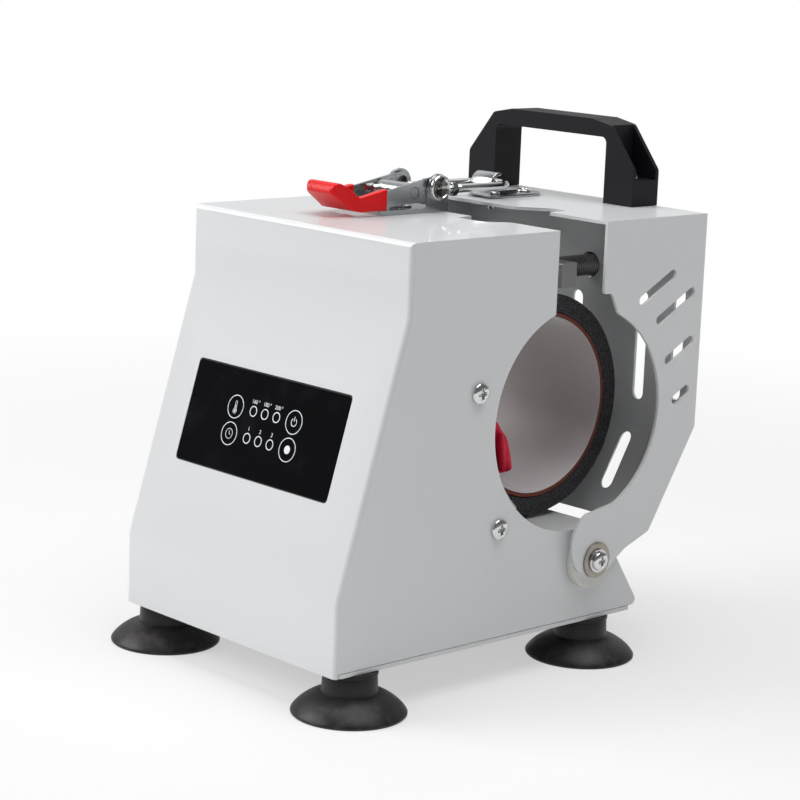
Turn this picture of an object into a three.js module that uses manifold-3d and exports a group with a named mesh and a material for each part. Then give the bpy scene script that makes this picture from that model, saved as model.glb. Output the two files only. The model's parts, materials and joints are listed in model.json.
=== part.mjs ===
// A bench mug press, in millimetres.
// The parts are drawn in the housing's own frame: X runs along the mug, Y runs from the front
// to the back with zero on the upper front face, Z is up with zero on the housing's lower edge.
// The last lines stand the whole on its feet and centre it over the origin.
import * as THREE from 'three';
import { mergeVertices } from 'three/addons/utils/BufferGeometryUtils.js';
import Module from 'manifold-3d';

const wasm = await Module();
wasm.setup();

// Fits that many pieces share
const fit = {
  slip: 0.3,
  running: 0.2,
  overrun: 4,
  weld: 0.0001,
};

// Folded housing: front with two bends, side panels with the mug cut-out, top with a wavy rear edge
const housing = {
  width: 150,
  overCut: 87.9,
  upperBend: 151.4,
  lowerBend: 31.4,
  frontReach: 35.5,
  topDepth: 90,
  tailReach: 157,
  tailTop: 127.6,
  tailRadius: 2.5,
  shelf: 43.5,
  sheet: 1.5,
  bend: 2.6,
  cutY: 107.1,
  cutZ: 95.9,
  cutRadius: 52.6,
};

// Wavy rear edge of the housing top, and its mirror in the jaw: places across and depths
const wave = {
  tabMiddle: -9,
  tabHalf: 27,
  recess: 10,
  recessHalf: 13,
  slope: 9.5,
  step: 1.2,
  jawRecess: 12.5,
};

// Sheet behind the electronics: rear slope, shelf under the mug and inner wall
const inner = {
  sheet: 1.2,
  wallY: 31,
  bend: 2.5,
  foot: 1,
};

const basePlate = {
  sheet: 2,
  rearInset: 5,
  flange: 9,
  flangeFront: 10.5,
  flangeRear: 17,
};

// Suction feet with a neck, and the screws that hold them
const foot = {
  height: 19.9,
  neckTop: 12,
  neckFoot: 12.6,
  neckStart: 9.9,
  rim: 25.75,
  rimHeight: 1.3,
  flareOut: 1.3,
  flareUp: 1.6,
  lip: 1.4,
  dome: 5,
  boreDepth: 12,
  sideInset: 9.2,
  frontInset: 16.7,
  rearInset: 24.5,
  screwRadius: 2.3,
  screwHead: 4.6,
  screwHeadHeight: 2.4,
  screwLength: 11,
};

// Heating band: foam outside, silicone heater, satin liner inside
const band = {
  behindCut: 0.8,
  aboveCut: 2.1,
  sideRoom: 25,
  foamOuter: 52.8,
  foamInner: 44.1,
  heaterInner: 42.3,
  linerInner: 41.3,
  layerGap: 0.3,
  splitAhead: 5,
  splitGap: 1,
  handleFrom: 9.5,
  handleTo: 3.1,
};

// Saddle that holds the band's front half, screwed to both side panels
const saddle = {
  sheet: 1.2,
  startAngle: 150,
  endAngle: 228,
  flangeStartAngle: 158,
  flangeOuter: 72,
  nutWidth: 8,
  nutHeight: 3.6,
};

// Side screws: places counted from the band's centre
const sideScrew = {
  upperReach: 66.3,
  upperAngle: 165.6,
  lowerReach: 67.7,
  lowerAngle: 224.3,
  radius: 2,
  head: 4.8,
  headHeight: 2.6,
  length: 9,
};

// Red sleeve round the heater's leads
const sleeve = {
  width: 9.6,
  thickness: 6.4,
  wall: 1,
  sideInset: 10,
  ahead: 11,
  elbow: 3,
  bend: 12.1,
  bendDrop: 6,
  end: 16.4,
  endDrop: 23,
  hollow: 13,
  play: 0.7,
};

// Touch glass in the sloping front, and the board behind it
const panel = {
  width: 106,
  height: 47.7,
  middleX: -0.7,
  fromBend: 37.7,
  thickness: 1.5,
  proud: 0.2,
  corner: 2,
  boardMargin: 9,
  board: 1.6,
  relayWidth: 19,
  relayHeight: 16,
  relayDepth: 15,
  coreWidth: 34,
  coreHeight: 28,
  coreDepth: 22,
  partGap: 8,
};

// Strain relief bushing in the left side panel
const gland = {
  y: 8,
  z: 18,
  flange: 8.5,
  flangeHeight: 2.5,
  neck: 5.6,
  neckLength: 10,
  shank: 6,
  shankLength: 6,
  bore: 2.3,
};

// Jaw: folded sheet that carries the rear half of the band
const jaw = {
  sideGap: 4,
  above: 3.3,
  gap: 25.3,
  depth: 70.7,
  backBend: 84.5,
  lowAhead: 28.5,
  lowZ: 38,
  sheet: 1.5,
  bend: 2.6,
  stepZ: 153.8,
  step: 5.7,
  stepRadius: 3,
  throat: 10.2,
  throatZ: 144.2,
  arcBehind: 0.7,
  arcRadius: 48.7,
  arcStartAngle: 61,
  arcEndAngle: -64,
  lugUp: 8.2,
  lugRadius: 16.5,
  lugStartAngle: 118,
  lugEndAngle: 322,
  neckBehind: 19.7,
  neckUp: 2.6,
  neckRadius: 5,
  heelRadius: 3,
};

// Slots in the jaw's sides and back
const slots = {
  sideWidth: 4.6,
  sideAngle: 28,
  backWidth: 6.8,
  middleTop: 139.6,
  middleFoot: 96,
  innerX: 43,
  innerTop: 145,
  innerFoot: 91.3,
  outerInset: 14,
  outerTop: 150,
  outerFoot: 95,
  lowerTop: 75.7,
  lowerFoot: 49.4,
};
// Each side slot: its middle as shares of the jaw's depth and of its height, its length of the depth
const sideSlotShares = [
  { inShare: 0.48, upShare: 0.8247, lengthShare: 0.392 },
  { inShare: 0.2914, upShare: 0.7718, lengthShare: 0.416 },
  { inShare: 0.2306, upShare: 0.6574, lengthShare: 0.308 },
  { inShare: 0.191, upShare: 0.5414, lengthShare: 0.185 },
];

// Hinge between housing and jaw
const hinge = {
  y: 119.3,
  z: 28.4,
  shank: 3,
  spacerRadius: 14,
  spacerChamfer: 0.6,
  washerRadius: 8.5,
  washer: 1,
  head: 5.7,
  headHeight: 3.4,
  nutWidth: 10,
  nutHeight: 5,
  tail: 2,
};

// Carry handle on the jaw
const handle = {
  middleX: -7.5,
  rearInset: 10.4,
  depth: 18.2,
  halfBase: 55.8,
  halfShoulder: 39.5,
  halfTop: 27.2,
  halfWindow: 37.2,
  legHeight: 17.2,
  shoulderHeight: 37.5,
  topHeight: 39.9,
  windowHeight: 31.6,
  windowRadius: 3,
  pocketWall: 2.2,
  pocketFloor: 12.4,
  screwAt: 46,
  screwRadius: 2,
  screwHead: 4.2,
  screwHeadHeight: 2.6,
  screwTail: 5,
};

// Pull latch: base on the housing, lever, barrel and looped bolt
const latch = {
  x: -13.2,
  pivotInset: 5.1,
  pivotUp: 11.5,
  half: 13.7,
  sheet: 1.3,
  baseSheet: 1.5,
  reach: 40,
  cheekRadius: 6.5,
  lip: 0.8,
  cheekStep: 2.4,
  armRadius: 5.4,
  rivet: 2.3,
  rivetHead: 6,
  rivetHeadHeight: 2.2,
  screwRadius: 2,
  screwHead: 3.8,
  screwHeadHeight: 1.6,
  screwTail: 5,
  screwFront: 7,
  screwRear: 9,
};

// Lever and grip: ahead of the pivot and above it
const lever = {
  armTop: -0.3,
  armEndTop: -3.5,
  armFoot: -7.9,
  armFront: 46.4,
  heel: 5.4,
  heelUp: -6.4,
  gripEnd: 31.6,
  gripFoot: -9.2,
  gripTop: 0.7,
  gripRoot: 49.4,
  crotch: 48.4,
  crotchUp: -2.6,
  rise: 51.5,
  riseUp: 0.9,
  crest: 60.2,
  crestUp: 5.9,
  tip: 62.4,
  tipFoot: -0.2,
  coat: 0.9,
  tongueHalf: 8,
  tongueStart: 47.8,
  tongueStartUp: -6.6,
  tongueEnd: 60,
  tongueEndUp: 1.4,
  tongueBend: 6,
  waistHalf: 11.2,
  tipHalf: 9.6,
  corner: 3.5,
};

const bolt = {
  barrelAhead: 13.6,
  barrelDrop: 2.1,
  barrelRadius: 4.4,
  pin: 2.5,
  wire: 1.9,
  legOff: 8.6,
  behindHook: 9.7,
  aboveJaw: 4.5,
  ahead: 8,
  nutWidth: 8,
  nutHeight: 4,
  nutFrom: 25.5,
};

const catchPlate = {
  half: 8,
  hookHalf: 6.4,
  sheet: 1.5,
  inset: 6.1,
  lean: 10.2,
  rise: 11,
  bend: 2.4,
  length: 42.4,
  screwNear: 12.8,
  screwFar: 34.5,
  endShare: 0.95,
  screwRadius: 2,
  screwHead: 3.6,
  screwHeadHeight: 1.5,
  screwTail: 4.5,
};

// Pressure screw: bar that bears on the rear shell, threaded rod, nut and knob
const press = {
  x: 7,
  aboveBand: 55.2,
  behindBand: 34.5,
  rod: 5.3,
  hole: 6.4,
  barHalf: 21,
  barDepth: 10.2,
  barHalfHeight: 6,
  barChamfer: 0.7,
  rodSeat: 1,
  nutWidth: 17,
  nutHeight: 6.5,
  knobGap: 4.5,
  knobRadius: 15,
  knobDepth: 12,
  knobLobes: 7,
  knobLobe: 1,
  hubRadius: 9,
  hubDepth: 3,
  knobFloor: 3,
};

// Thin shell round the rear half of the band, with a pad for the bar and a leg to the jaw
const rearShell = {
  sheet: 1.2,
  sideInset: 2,
  startAngle: -48,
  padHalf: 17,
  padTop: 5,
  legMiddle: -7,
  legHalf: 20,
  footLength: 15,
  rivet: 1.8,
  rivetHead: 3.4,
  rivetHeadHeight: 1.6,
  rivetOff: 11,
  rivetAlong: 8,
};

const degree = Math.PI / 180;
const arcStep = 20 * degree;
const fineStep = 7.5 * degree;

// Looks of the pieces
const looks = {
  white: { color: 0xe4e6e8, roughness: 0.32, metalness: 0 },
  glass: { color: 0x0b0b0d, roughness: 0.08, metalness: 0 },
  board: { color: 0x1d5a3a, roughness: 0.6, metalness: 0 },
  rubber: { color: 0x1b1a1a, roughness: 0.75, metalness: 0 },
  zinc: { color: 0xb4b8bb, roughness: 0.3, metalness: 1 },
  steel: { color: 0x8f8d88, roughness: 0.4, metalness: 1 },
  dark: { color: 0x2c2d2f, roughness: 0.5, metalness: 0.8 },
  red: { color: 0xd01c26, roughness: 0.35, metalness: 0 },
  foam: { color: 0x2b2b2d, roughness: 0.95, metalness: 0 },
  heater: { color: 0x7d3422, roughness: 0.7, metalness: 0 },
  liner: { color: 0xcfc4c4, roughness: 0.5, metalness: 0 },
  sleeve: { color: 0xb31a38, roughness: 0.4, metalness: 0 },
  nylon: { color: 0xe6e5de, roughness: 0.4, metalness: 0 },
  handle: { color: 0x1d1d21, roughness: 0.5, metalness: 0 },
};

// Sizes that follow from the others
const halfWidth = housing.width / 2;
const housingTop = housing.cutZ + housing.overCut;
const innerHalf = halfWidth - housing.sheet;
const fitHalf = innerHalf - fit.slip;
const bandY = housing.cutY + band.behindCut;
const bandZ = housing.cutZ + band.aboveCut;
const bandFront = bandY - band.foamOuter;
const bandHalfLength = halfWidth - band.sideRoom;
const jawHalf = halfWidth + jaw.sideGap + jaw.sheet;
const jawTop = housingTop + jaw.above;
const jawFront = housing.topDepth + jaw.gap;
const jawBack = jawFront + jaw.depth;
const jawLow = jawBack - jaw.lowAhead;
const handleY = jawBack - handle.rearInset;
const latchFront = housing.topDepth - latch.reach;
const pivotY = housing.topDepth - latch.pivotInset;
const pivotZ = housingTop + latch.pivotUp;
const barrelY = pivotY - bolt.barrelAhead;
const barrelZ = pivotZ - bolt.barrelDrop;
const hookBend = jawFront + catchPlate.inset;
const hookTip = hookBend + catchPlate.lean;
const catchScrewNear = hookBend + catchPlate.screwNear;
const catchScrewFar = hookBend + catchPlate.screwFar;
const barFront = bandY + press.behindBand;
const rodZ = bandZ + press.aboveBand;
const sleeveX = halfWidth - sleeve.sideInset;
const plateRear = housing.tailReach - basePlate.rearInset;
const footX = halfWidth - foot.sideInset;
const footFront = foot.frontInset - housing.frontReach;
const footRear = plateRear - foot.rearInset;
const plateTop = -fit.slip;
const plateFoot = plateTop - basePlate.sheet;
const ground = plateFoot - foot.height;
const slopeAngle = Math.atan2(housing.frontReach, housing.upperBend - housing.lowerBend);
const far = housingTop + housing.tailReach;

// Solids: a closed geometry becomes a solid that can be joined and cut
function toSolid(geometry) {
  const bare = geometry.clone();
  bare.deleteAttribute('normal');
  bare.deleteAttribute('uv');
  const welded = mergeVertices(bare, fit.weld);
  return new wasm.Manifold(new wasm.Mesh({
    numProp: 3,
    vertProperties: new Float32Array(welded.attributes.position.array),
    triVerts: new Uint32Array(welded.index.array),
  }));
}

function toGeometry(solid) {
  const mesh = solid.getMesh();
  const geometry = new THREE.BufferGeometry();
  geometry.setAttribute('position', new THREE.BufferAttribute(mesh.vertProperties, 3));
  geometry.setIndex(new THREE.BufferAttribute(mesh.triVerts, 1));
  geometry.computeVertexNormals();
  return geometry;
}

function joined(...solids) {
  return solids.reduce((whole, next) => whole.add(next));
}

function cut(solid, ...tools) {
  return tools.reduce((whole, tool) => whole.subtract(tool), solid);
}

// Corners are [a, b, radius]; each radius becomes an arc that is tangent to both sides
function rounded(corners, closed = true) {
  const count = corners.length;
  return corners.flatMap(([a, b, radius = 0], index) => {
    const here = new THREE.Vector2(a, b);
    const isEnd = !closed && (index === 0 || index === count - 1);
    if (radius <= 0 || isEnd) {
      return [here];
    }
    const before = corners[(index + count - 1) % count];
    const after = corners[(index + 1) % count];
    const inward = here.clone().sub(new THREE.Vector2(before[0], before[1])).normalize();
    const outward = new THREE.Vector2(after[0], after[1]).sub(here).normalize();
    const turn = Math.acos(THREE.MathUtils.clamp(inward.dot(outward), -1, 1));
    const side = Math.sign(inward.cross(outward));
    const start = here.clone().addScaledVector(inward, -radius * Math.tan(turn / 2));
    const centre = start.clone().add(new THREE.Vector2(-inward.y, inward.x).multiplyScalar(side * radius));
    const steps = Math.max(2, Math.ceil(turn / arcStep));
    return Array.from({ length: steps + 1 }, (_, k) => (
      start.clone().rotateAround(centre, side * turn * k / steps)));
  });
}

// The same line moved to its left by a distance, its radii changed to stay concentric
function moved(corners, distance) {
  const normals = corners.slice(1).map(([a, b], k) => (
    new THREE.Vector2(corners[k][1] - b, a - corners[k][0]).normalize()));
  return corners.map(([a, b, radius = 0], index) => {
    const first = normals[Math.max(index - 1, 0)];
    const second = normals[Math.min(index, normals.length - 1)];
    const mitre = first.clone().add(second).normalize();
    const reach = distance / mitre.dot(first);
    const side = Math.sign(first.cross(second));
    const turned = radius > 0 ? Math.max(radius - side * distance, 0) : 0;
    return [a + mitre.x * reach, b + mitre.y * reach, turned];
  });
}

// Section of a bent sheet that follows the corners, with its thickness to the left
function strip(corners, thickness) {
  return [...rounded(corners, false), ...rounded(moved(corners, thickness), false).reverse()];
}

function arc(a, b, radius, from, to, step = fineStep) {
  const steps = Math.max(2, Math.ceil(Math.abs(to - from) * degree / step));
  return Array.from({ length: steps + 1 }, (_, k) => {
    const angle = (from + (to - from) * k / steps) * degree;
    return new THREE.Vector2(a + radius * Math.cos(angle), b + radius * Math.sin(angle));
  });
}

function sector(a, b, innerRadius, outerRadius, from, to) {
  return [...arc(a, b, outerRadius, from, to), ...arc(a, b, innerRadius, to, from)];
}

function circle(a, b, radius, step = fineStep) {
  return arc(a, b, radius, 0, 360, step).slice(1);
}

function rectangle(a0, a1, b0, b1, radius = 0) {
  return rounded([[a0, b0, radius], [a1, b0, radius], [a1, b1, radius], [a0, b1, radius]]);
}

function slot(a, b, length, width, angle) {
  const reach = (length - width) / 2;
  const turn = angle * degree;
  const da = reach * Math.cos(turn);
  const db = reach * Math.sin(turn);
  return [
    ...arc(a + da, b + db, width / 2, angle - 90, angle + 90, arcStep),
    ...arc(a - da, b - db, width / 2, angle + 90, angle + 270, arcStep),
  ];
}

// Straight bodies along the three axes from an outline of points
function extruded(outline, length, holes) {
  const shape = new THREE.Shape(outline);
  shape.holes = holes.map((hole) => new THREE.Path(hole));
  return new THREE.ExtrudeGeometry(shape, { depth: length, bevelEnabled: false });
}

function alongX(outline, x0, x1, holes = []) {
  const place = new THREE.Matrix4().makeBasis(
    new THREE.Vector3(0, 1, 0), new THREE.Vector3(0, 0, 1), new THREE.Vector3(1, 0, 0));
  place.setPosition(x0, 0, 0);
  return toSolid(extruded(outline, x1 - x0, holes).applyMatrix4(place));
}

function alongY(outline, y0, y1, holes = []) {
  const place = new THREE.Matrix4().makeBasis(
    new THREE.Vector3(1, 0, 0), new THREE.Vector3(0, 0, 1), new THREE.Vector3(0, -1, 0));
  place.setPosition(0, y1, 0);
  return toSolid(extruded(outline, y1 - y0, holes).applyMatrix4(place));
}

function alongZ(outline, z0, z1, holes = []) {
  return toSolid(extruded(outline, z1 - z0, holes).translate(0, 0, z0));
}

// Turned body: the profile holds [radius, height] and runs upwards on its outer side
function turned(profile, axis, x, y, z, segments = 24) {
  const points = profile.map(([radius, height]) => new THREE.Vector2(radius, height));
  const geometry = new THREE.LatheGeometry(points, segments);
  const spin = new THREE.Quaternion().setFromUnitVectors(new THREE.Vector3(0, 1, 0), axis);
  return toSolid(geometry.applyQuaternion(spin).translate(x, y, z));
}

const axisX = new THREE.Vector3(1, 0, 0);
const axisZ = new THREE.Vector3(0, 0, 1);

function axleX(radius, x0, x1, y, z, segments = 20) {
  return turned([[0, x0], [radius, x0], [radius, x1], [0, x1]], axisX, 0, y, z, segments);
}

function pinZ(radius, z0, z1, x, y, segments = 20) {
  return turned([[0, z0], [radius, z0], [radius, z1], [0, z1]], axisZ, x, y, 0, segments);
}

// Screw with a domed head that sits at zero and a shank that runs down from it
function screwProfile(headRadius, headHeight, shankRadius, length) {
  const shoulderShare = 0.45;
  const crownShare = 0.55;
  return [
    [0, -length],
    [shankRadius, -length],
    [shankRadius, 0],
    [headRadius, 0],
    [headRadius, headHeight * shoulderShare],
    [headRadius * crownShare, headHeight],
    [0, headHeight],
  ];
}

function hexagon(a, b, width) {
  return circle(a, b, width / (2 * Math.cos(Math.PI / 6)), Math.PI / 3);
}

// Block whose plan has two round corners on one wall, and whose wall follows a line of [y, z]
function foldedBlock(half, line, depth, radius) {
  const direction = Math.sign(depth);
  const corners = [[-half, depth], [-half, 0, radius], [half, 0, radius], [half, depth]];
  const plan = rounded(direction > 0 ? corners : corners.reverse());
  const steps = line.length - 1;
  const shape = new THREE.Shape(plan);
  const geometry = new THREE.ExtrudeGeometry(shape, { depth: steps, steps, bevelEnabled: false });
  const position = geometry.attributes.position;
  for (let k = 0; k < position.count; k += 1) {
    const [y, z] = line[Math.round(position.getZ(k))];
    position.setY(k, position.getY(k) + y);
    position.setZ(k, z);
  }
  return toSolid(geometry);
}

const parts = new THREE.Group();
const slope = new THREE.Group();
slope.position.set(0, 0, housing.upperBend);
slope.rotation.x = -slopeAngle;
parts.add(slope);

function add(name, look, solid, group = parts) {
  const geometry = solid.isBufferGeometry ? solid : toGeometry(solid);
  const mesh = new THREE.Mesh(geometry, new THREE.MeshStandardMaterial(looks[look]));
  mesh.name = name;
  group.add(mesh);
  return mesh;
}

const sides = [['left', -1], ['right', 1]];

// Screw places on each side panel
const sideScrewPlaces = [
  ['upper', sideScrew.upperReach, sideScrew.upperAngle * degree],
  ['lower', sideScrew.lowerReach, sideScrew.lowerAngle * degree],
].map(([name, reach, angle]) => (
  [name, bandY + reach * Math.cos(angle), bandZ + reach * Math.sin(angle)]));

function sidePanelOutline() {
  const reach = housing.frontReach + fit.overrun;
  const behindFront = housing.sheet - housing.frontReach;
  return rounded([
    [-reach, plateFoot],
    [behindFront, plateFoot],
    [behindFront, 0],
    [housing.tailReach, 0, housing.tailRadius],
    [housing.tailTop, housing.shelf, housing.bend],
    [housing.cutY, housing.shelf],
    [housing.cutY, housing.cutZ],
    [housing.topDepth, housing.cutZ],
    [housing.topDepth, housingTop],
    [0, housingTop, housing.bend],
    [0, housing.upperBend],
    [-reach, housing.upperBend],
  ]);
}

// Wavy cut: a straight outer run, a recess and a straight tab, mirrored about the tab's middle.
// Depths are measured from the edge, positive into the sheet.
function waveEdge(half, edge, into, recess, sharpAtTab) {
  const points = [];
  const inside = wave.tabHalf;
  const floorEnd = inside + 2 * wave.recessHalf;
  const smooth = (from, to, d0, d1) => {
    const steps = 8;
    for (let k = 0; k <= steps; k += 1) {
      const share = k / steps;
      const ease = (1 - Math.cos(Math.PI * share)) / 2;
      points.push([from + (to - from) * share, d0 + (d1 - d0) * ease]);
    }
  };
  if (sharpAtTab) {
    points.push([inside, 0]);
    points.push([inside + wave.step, recess]);
    smooth(floorEnd - wave.slope, floorEnd + wave.step, recess, 0);
  } else {
    smooth(inside - wave.step, inside + 2 * wave.slope, 0, recess);
    points.push([floorEnd - wave.step, recess]);
    points.push([floorEnd, 0]);
  }
  const right = points.map(([off, depth]) => [wave.tabMiddle + off, edge + into * depth]);
  const left = points.map(([off, depth]) => [wave.tabMiddle - off, edge + into * depth]).reverse();
  const rim = edge - into * fit.overrun;
  const outer = half + fit.overrun;
  const line = [[-outer, rim], [-outer, edge], ...left, ...right, [outer, edge], [outer, rim]];
  const ordered = into < 0 ? line : line.reverse();
  return ordered.filter(([x]) => Math.abs(x) <= outer).map(([x, y]) => new THREE.Vector2(x, y));
}

function housingLine() {
  return [
    [-housing.frontReach, plateFoot],
    [-housing.frontReach, housing.lowerBend],
    [0, housing.upperBend],
    [0, housingTop],
  ];
}

// Window for the touch glass, cut square to the slope
function slopeBlock(half, height, depthFrom, depthTo, radius) {
  const low = -panel.fromBend - panel.height / 2 - height / 2;
  const outline = rectangle(panel.middleX - half, panel.middleX + half, low, low + height, radius);
  return alongY(outline, depthFrom, depthTo);
}

function onSlope(solid) {
  const place = new THREE.Matrix4().makeRotationX(-slopeAngle);
  place.setPosition(0, 0, housing.upperBend);
  return toSolid(toGeometry(solid).applyMatrix4(place));
}

function makeHousing() {
  const line = housingLine();
  const outer = foldedBlock(halfWidth, line, far, housing.bend)
    .intersect(alongX(sidePanelOutline(), -halfWidth, halfWidth));
  const hollowLine = moved(line, -housing.sheet);
  hollowLine[0][1] = plateFoot - fit.overrun;
  hollowLine[hollowLine.length - 1][1] = housingTop - housing.sheet;
  const hollow = foldedBlock(innerHalf, hollowLine, far, housing.bend - housing.sheet);
  const window = slopeBlock(panel.width / 2 + fit.slip, panel.height + 2 * fit.slip,
    -fit.overrun, fit.overrun, panel.corner);
  const cuts = [
    hollow,
    axleX(housing.cutRadius, -far, far, housing.cutY, housing.cutZ, 96),
    alongZ(waveEdge(halfWidth, housing.topDepth, -1, wave.recess, true),
      housingTop - fit.overrun, housingTop + fit.overrun),
    onSlope(window),
    axleX(hinge.shank + fit.slip, -far, far, hinge.y, hinge.z),
    axleX(gland.shank + fit.slip, -far, 0, gland.y, gland.z),
    ...sideScrewPlaces.map(([, y, z]) => axleX(sideScrew.radius + fit.slip, -far, far, y, z)),
    ...latchScrewPlaces().map(([, y]) => (
      pinZ(latch.screwRadius + fit.slip, housingTop - fit.overrun, far, latch.x, y))),
  ];
  return cut(outer, ...cuts);
}

function makeInnerPanel() {
  const run = (housing.tailReach - housing.tailTop) / housing.shelf;
  const line = [
    [housing.tailReach - run * inner.foot, inner.foot],
    [housing.tailTop, housing.shelf, inner.bend],
    [inner.wallY, housing.shelf, inner.bend],
    [inner.wallY, housingTop - housing.sheet - fit.slip],
  ];
  return alongX(strip(line, inner.sheet), -fitHalf, fitHalf);
}

function footPlaces() {
  return [
    ['front_left', -footX, footFront],
    ['front_right', footX, footFront],
    ['rear_left', -footX, footRear],
    ['rear_right', footX, footRear],
  ];
}

function makeBasePlate() {
  const behindFront = housing.sheet + fit.slip - housing.frontReach;
  const outline = rectangle(-halfWidth, halfWidth, behindFront, plateRear, housing.tailRadius);
  const flanges = sides.map(([, side]) => {
    const edges = [side * fitHalf, side * (fitHalf - inner.sheet)].sort((a, b) => a - b);
    const flange = rectangle(edges[0], edges[1], basePlate.flangeFront - housing.frontReach,
      plateRear - basePlate.flangeRear);
    return alongZ(flange, plateFoot, plateTop + basePlate.flange);
  });
  const holes = footPlaces().map(([, x, y]) => (
    pinZ(foot.screwRadius + fit.slip, plateFoot - fit.overrun, far, x, y)));
  return cut(joined(alongZ(outline, plateFoot, plateTop), ...flanges), ...holes);
}

// Outside of a cup: from the rim up to the neck, steeper and straighter than a quarter circle
function cupCurve() {
  const steps = 5;
  return Array.from({ length: steps }, (_, k) => {
    const turn = Math.PI / 2 * (k + 1) / (steps + 1);
    const swell = Math.sin(turn) ** foot.flareUp;
    const radius = foot.rim + (foot.neckFoot - foot.rim) * (1 - Math.cos(turn) ** foot.flareOut);
    return [radius, foot.rimHeight + (foot.neckStart - foot.rimHeight) * swell];
  });
}

function makeFoot(x, y) {
  const bore = foot.screwRadius + fit.slip;
  const domeShare = 0.55;
  const profile = [
    [0, foot.dome],
    [foot.rim * domeShare, foot.dome * (1 - domeShare * domeShare)],
    [foot.rim - foot.lip, 0],
    [foot.rim, 0],
    [foot.rim, foot.rimHeight],
    ...cupCurve(),
    [foot.neckFoot, foot.neckStart],
    [foot.neckTop, foot.height],
    [bore, foot.height],
    [bore, foot.height - foot.boreDepth],
    [0, foot.height - foot.boreDepth],
  ];
  return turned(profile, axisZ, x, y, ground, 32);
}

function makeFootScrew(x, y) {
  const profile = screwProfile(foot.screwHead, foot.screwHeadHeight, foot.screwRadius,
    foot.screwLength);
  return turned(profile, axisZ, x, y, plateTop, 16);
}

function screwAlongX(profile, side, x, y, z, segments = 20) {
  return turned(profile, new THREE.Vector3(side, 0, 0), side * x, y, z, segments);
}

// Half of one layer of the band, in front of or behind the split. The halves nearly meet below
// and leave room for the mug's handle above.
function bandHalf(outerRadius, innerRadius, isFront) {
  const fine = 5 * degree;
  const ring = alongX(circle(bandY, bandZ, outerRadius, fine), -bandHalfLength, bandHalfLength,
    [circle(bandY, bandZ, innerRadius, fine)]);
  const reach = band.foamOuter + fit.overrun;
  const split = bandY - band.splitAhead;
  const end = isFront ? bandY - reach : bandY + reach;
  const low = isFront ? split : split + band.splitGap;
  const high = isFront ? bandY - band.handleFrom : bandY + band.handleTo;
  const side = [
    [end, bandZ - reach], [low, bandZ - reach], [low, bandZ],
    [high, bandZ], [high, bandZ + reach], [end, bandZ + reach],
  ];
  const half = alongX(rounded(isFront ? side : side.reverse()), -halfWidth, halfWidth);
  return ring.intersect(half);
}

function makeSaddle() {
  const innerRadius = band.foamOuter + fit.slip;
  const outerRadius = innerRadius + saddle.sheet;
  const wall = alongX(sector(bandY, bandZ, innerRadius, outerRadius, saddle.startAngle, saddle.endAngle),
    -fitHalf, fitHalf);
  const flangeOutline = sector(bandY, bandZ, innerRadius, saddle.flangeOuter,
    saddle.flangeStartAngle, saddle.endAngle);
  const flanges = sides.map(([, side]) => {
    const edges = [side * fitHalf, side * (fitHalf - saddle.sheet)].sort((a, b) => a - b);
    return alongX(flangeOutline, edges[0], edges[1]);
  });
  const nuts = sides.flatMap(([, side]) => sideScrewPlaces.map(([, y, z]) => {
    const edges = [side * (fitHalf - saddle.sheet / 2),
      side * (fitHalf - saddle.sheet - saddle.nutHeight)].sort((a, b) => a - b);
    return alongX(hexagon(y, z, saddle.nutWidth), edges[0], edges[1]);
  }));
  const holes = sideScrewPlaces.map(([, y, z]) => (
    axleX(sideScrew.radius + fit.slip, -far, far, y, z)));
  const leadHole = alongY(
    rectangle(sleeveX - sleeve.width / 2 - sleeve.play, sleeveX + sleeve.width / 2 + sleeve.play,
      bandZ - sleeve.thickness / 2 - sleeve.play, bandZ + sleeve.thickness / 2 + sleeve.play),
    bandFront - sleeve.ahead, bandFront + sleeve.elbow);
  return cut(joined(wall, ...flanges, ...nuts), ...holes, leadHole);
}

// Flat tube along a smooth line, with a hollow that opens at its lower end
function makeSleeve() {
  const route = [
    new THREE.Vector3(sleeveX, bandFront - sleeve.ahead, bandZ),
    new THREE.Vector3(sleeveX, bandFront + sleeve.elbow, bandZ),
    new THREE.Vector3(sleeveX, bandFront + sleeve.bend, bandZ - sleeve.bendDrop),
    new THREE.Vector3(sleeveX, bandFront + sleeve.end, bandZ - sleeve.endDrop),
  ];
  const along = (points, steps, width, thickness) => {
    const ring = circle(0, 0, 1, 30 * degree).map((point) => (
      new THREE.Vector2(point.x * width / 2, point.y * thickness / 2)));
    return toSolid(new THREE.ExtrudeGeometry(new THREE.Shape(ring), {
      steps,
      extrudePath: new THREE.CatmullRomCurve3(points),
    }));
  };
  const end = route[route.length - 1];
  const downward = end.clone().sub(route[route.length - 2]).normalize();
  const mouth = [
    end.clone().addScaledVector(downward, -sleeve.hollow),
    end.clone().addScaledVector(downward, sleeve.wall),
  ];
  const bore = along(mouth, 1, sleeve.thickness - 2 * sleeve.wall, sleeve.thickness - 2 * sleeve.wall);
  return along(route, 12, sleeve.width, sleeve.thickness).subtract(bore);
}

function makeGland() {
  const profile = [
    [gland.bore, -gland.shankLength],
    [gland.shank, -gland.shankLength],
    [gland.shank, 0],
    [gland.flange, 0],
    [gland.flange, gland.flangeHeight],
    [gland.neck, gland.flangeHeight],
    [gland.neck - fit.slip, gland.neckLength],
    [gland.bore, gland.neckLength],
    [gland.bore, -gland.shankLength],
  ];
  return screwAlongX(profile, -1, halfWidth, gland.y, gland.z);
}

function makeGlass() {
  return slopeBlock(panel.width / 2, panel.height, -panel.proud, panel.thickness - panel.proud,
    panel.corner);
}

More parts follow.
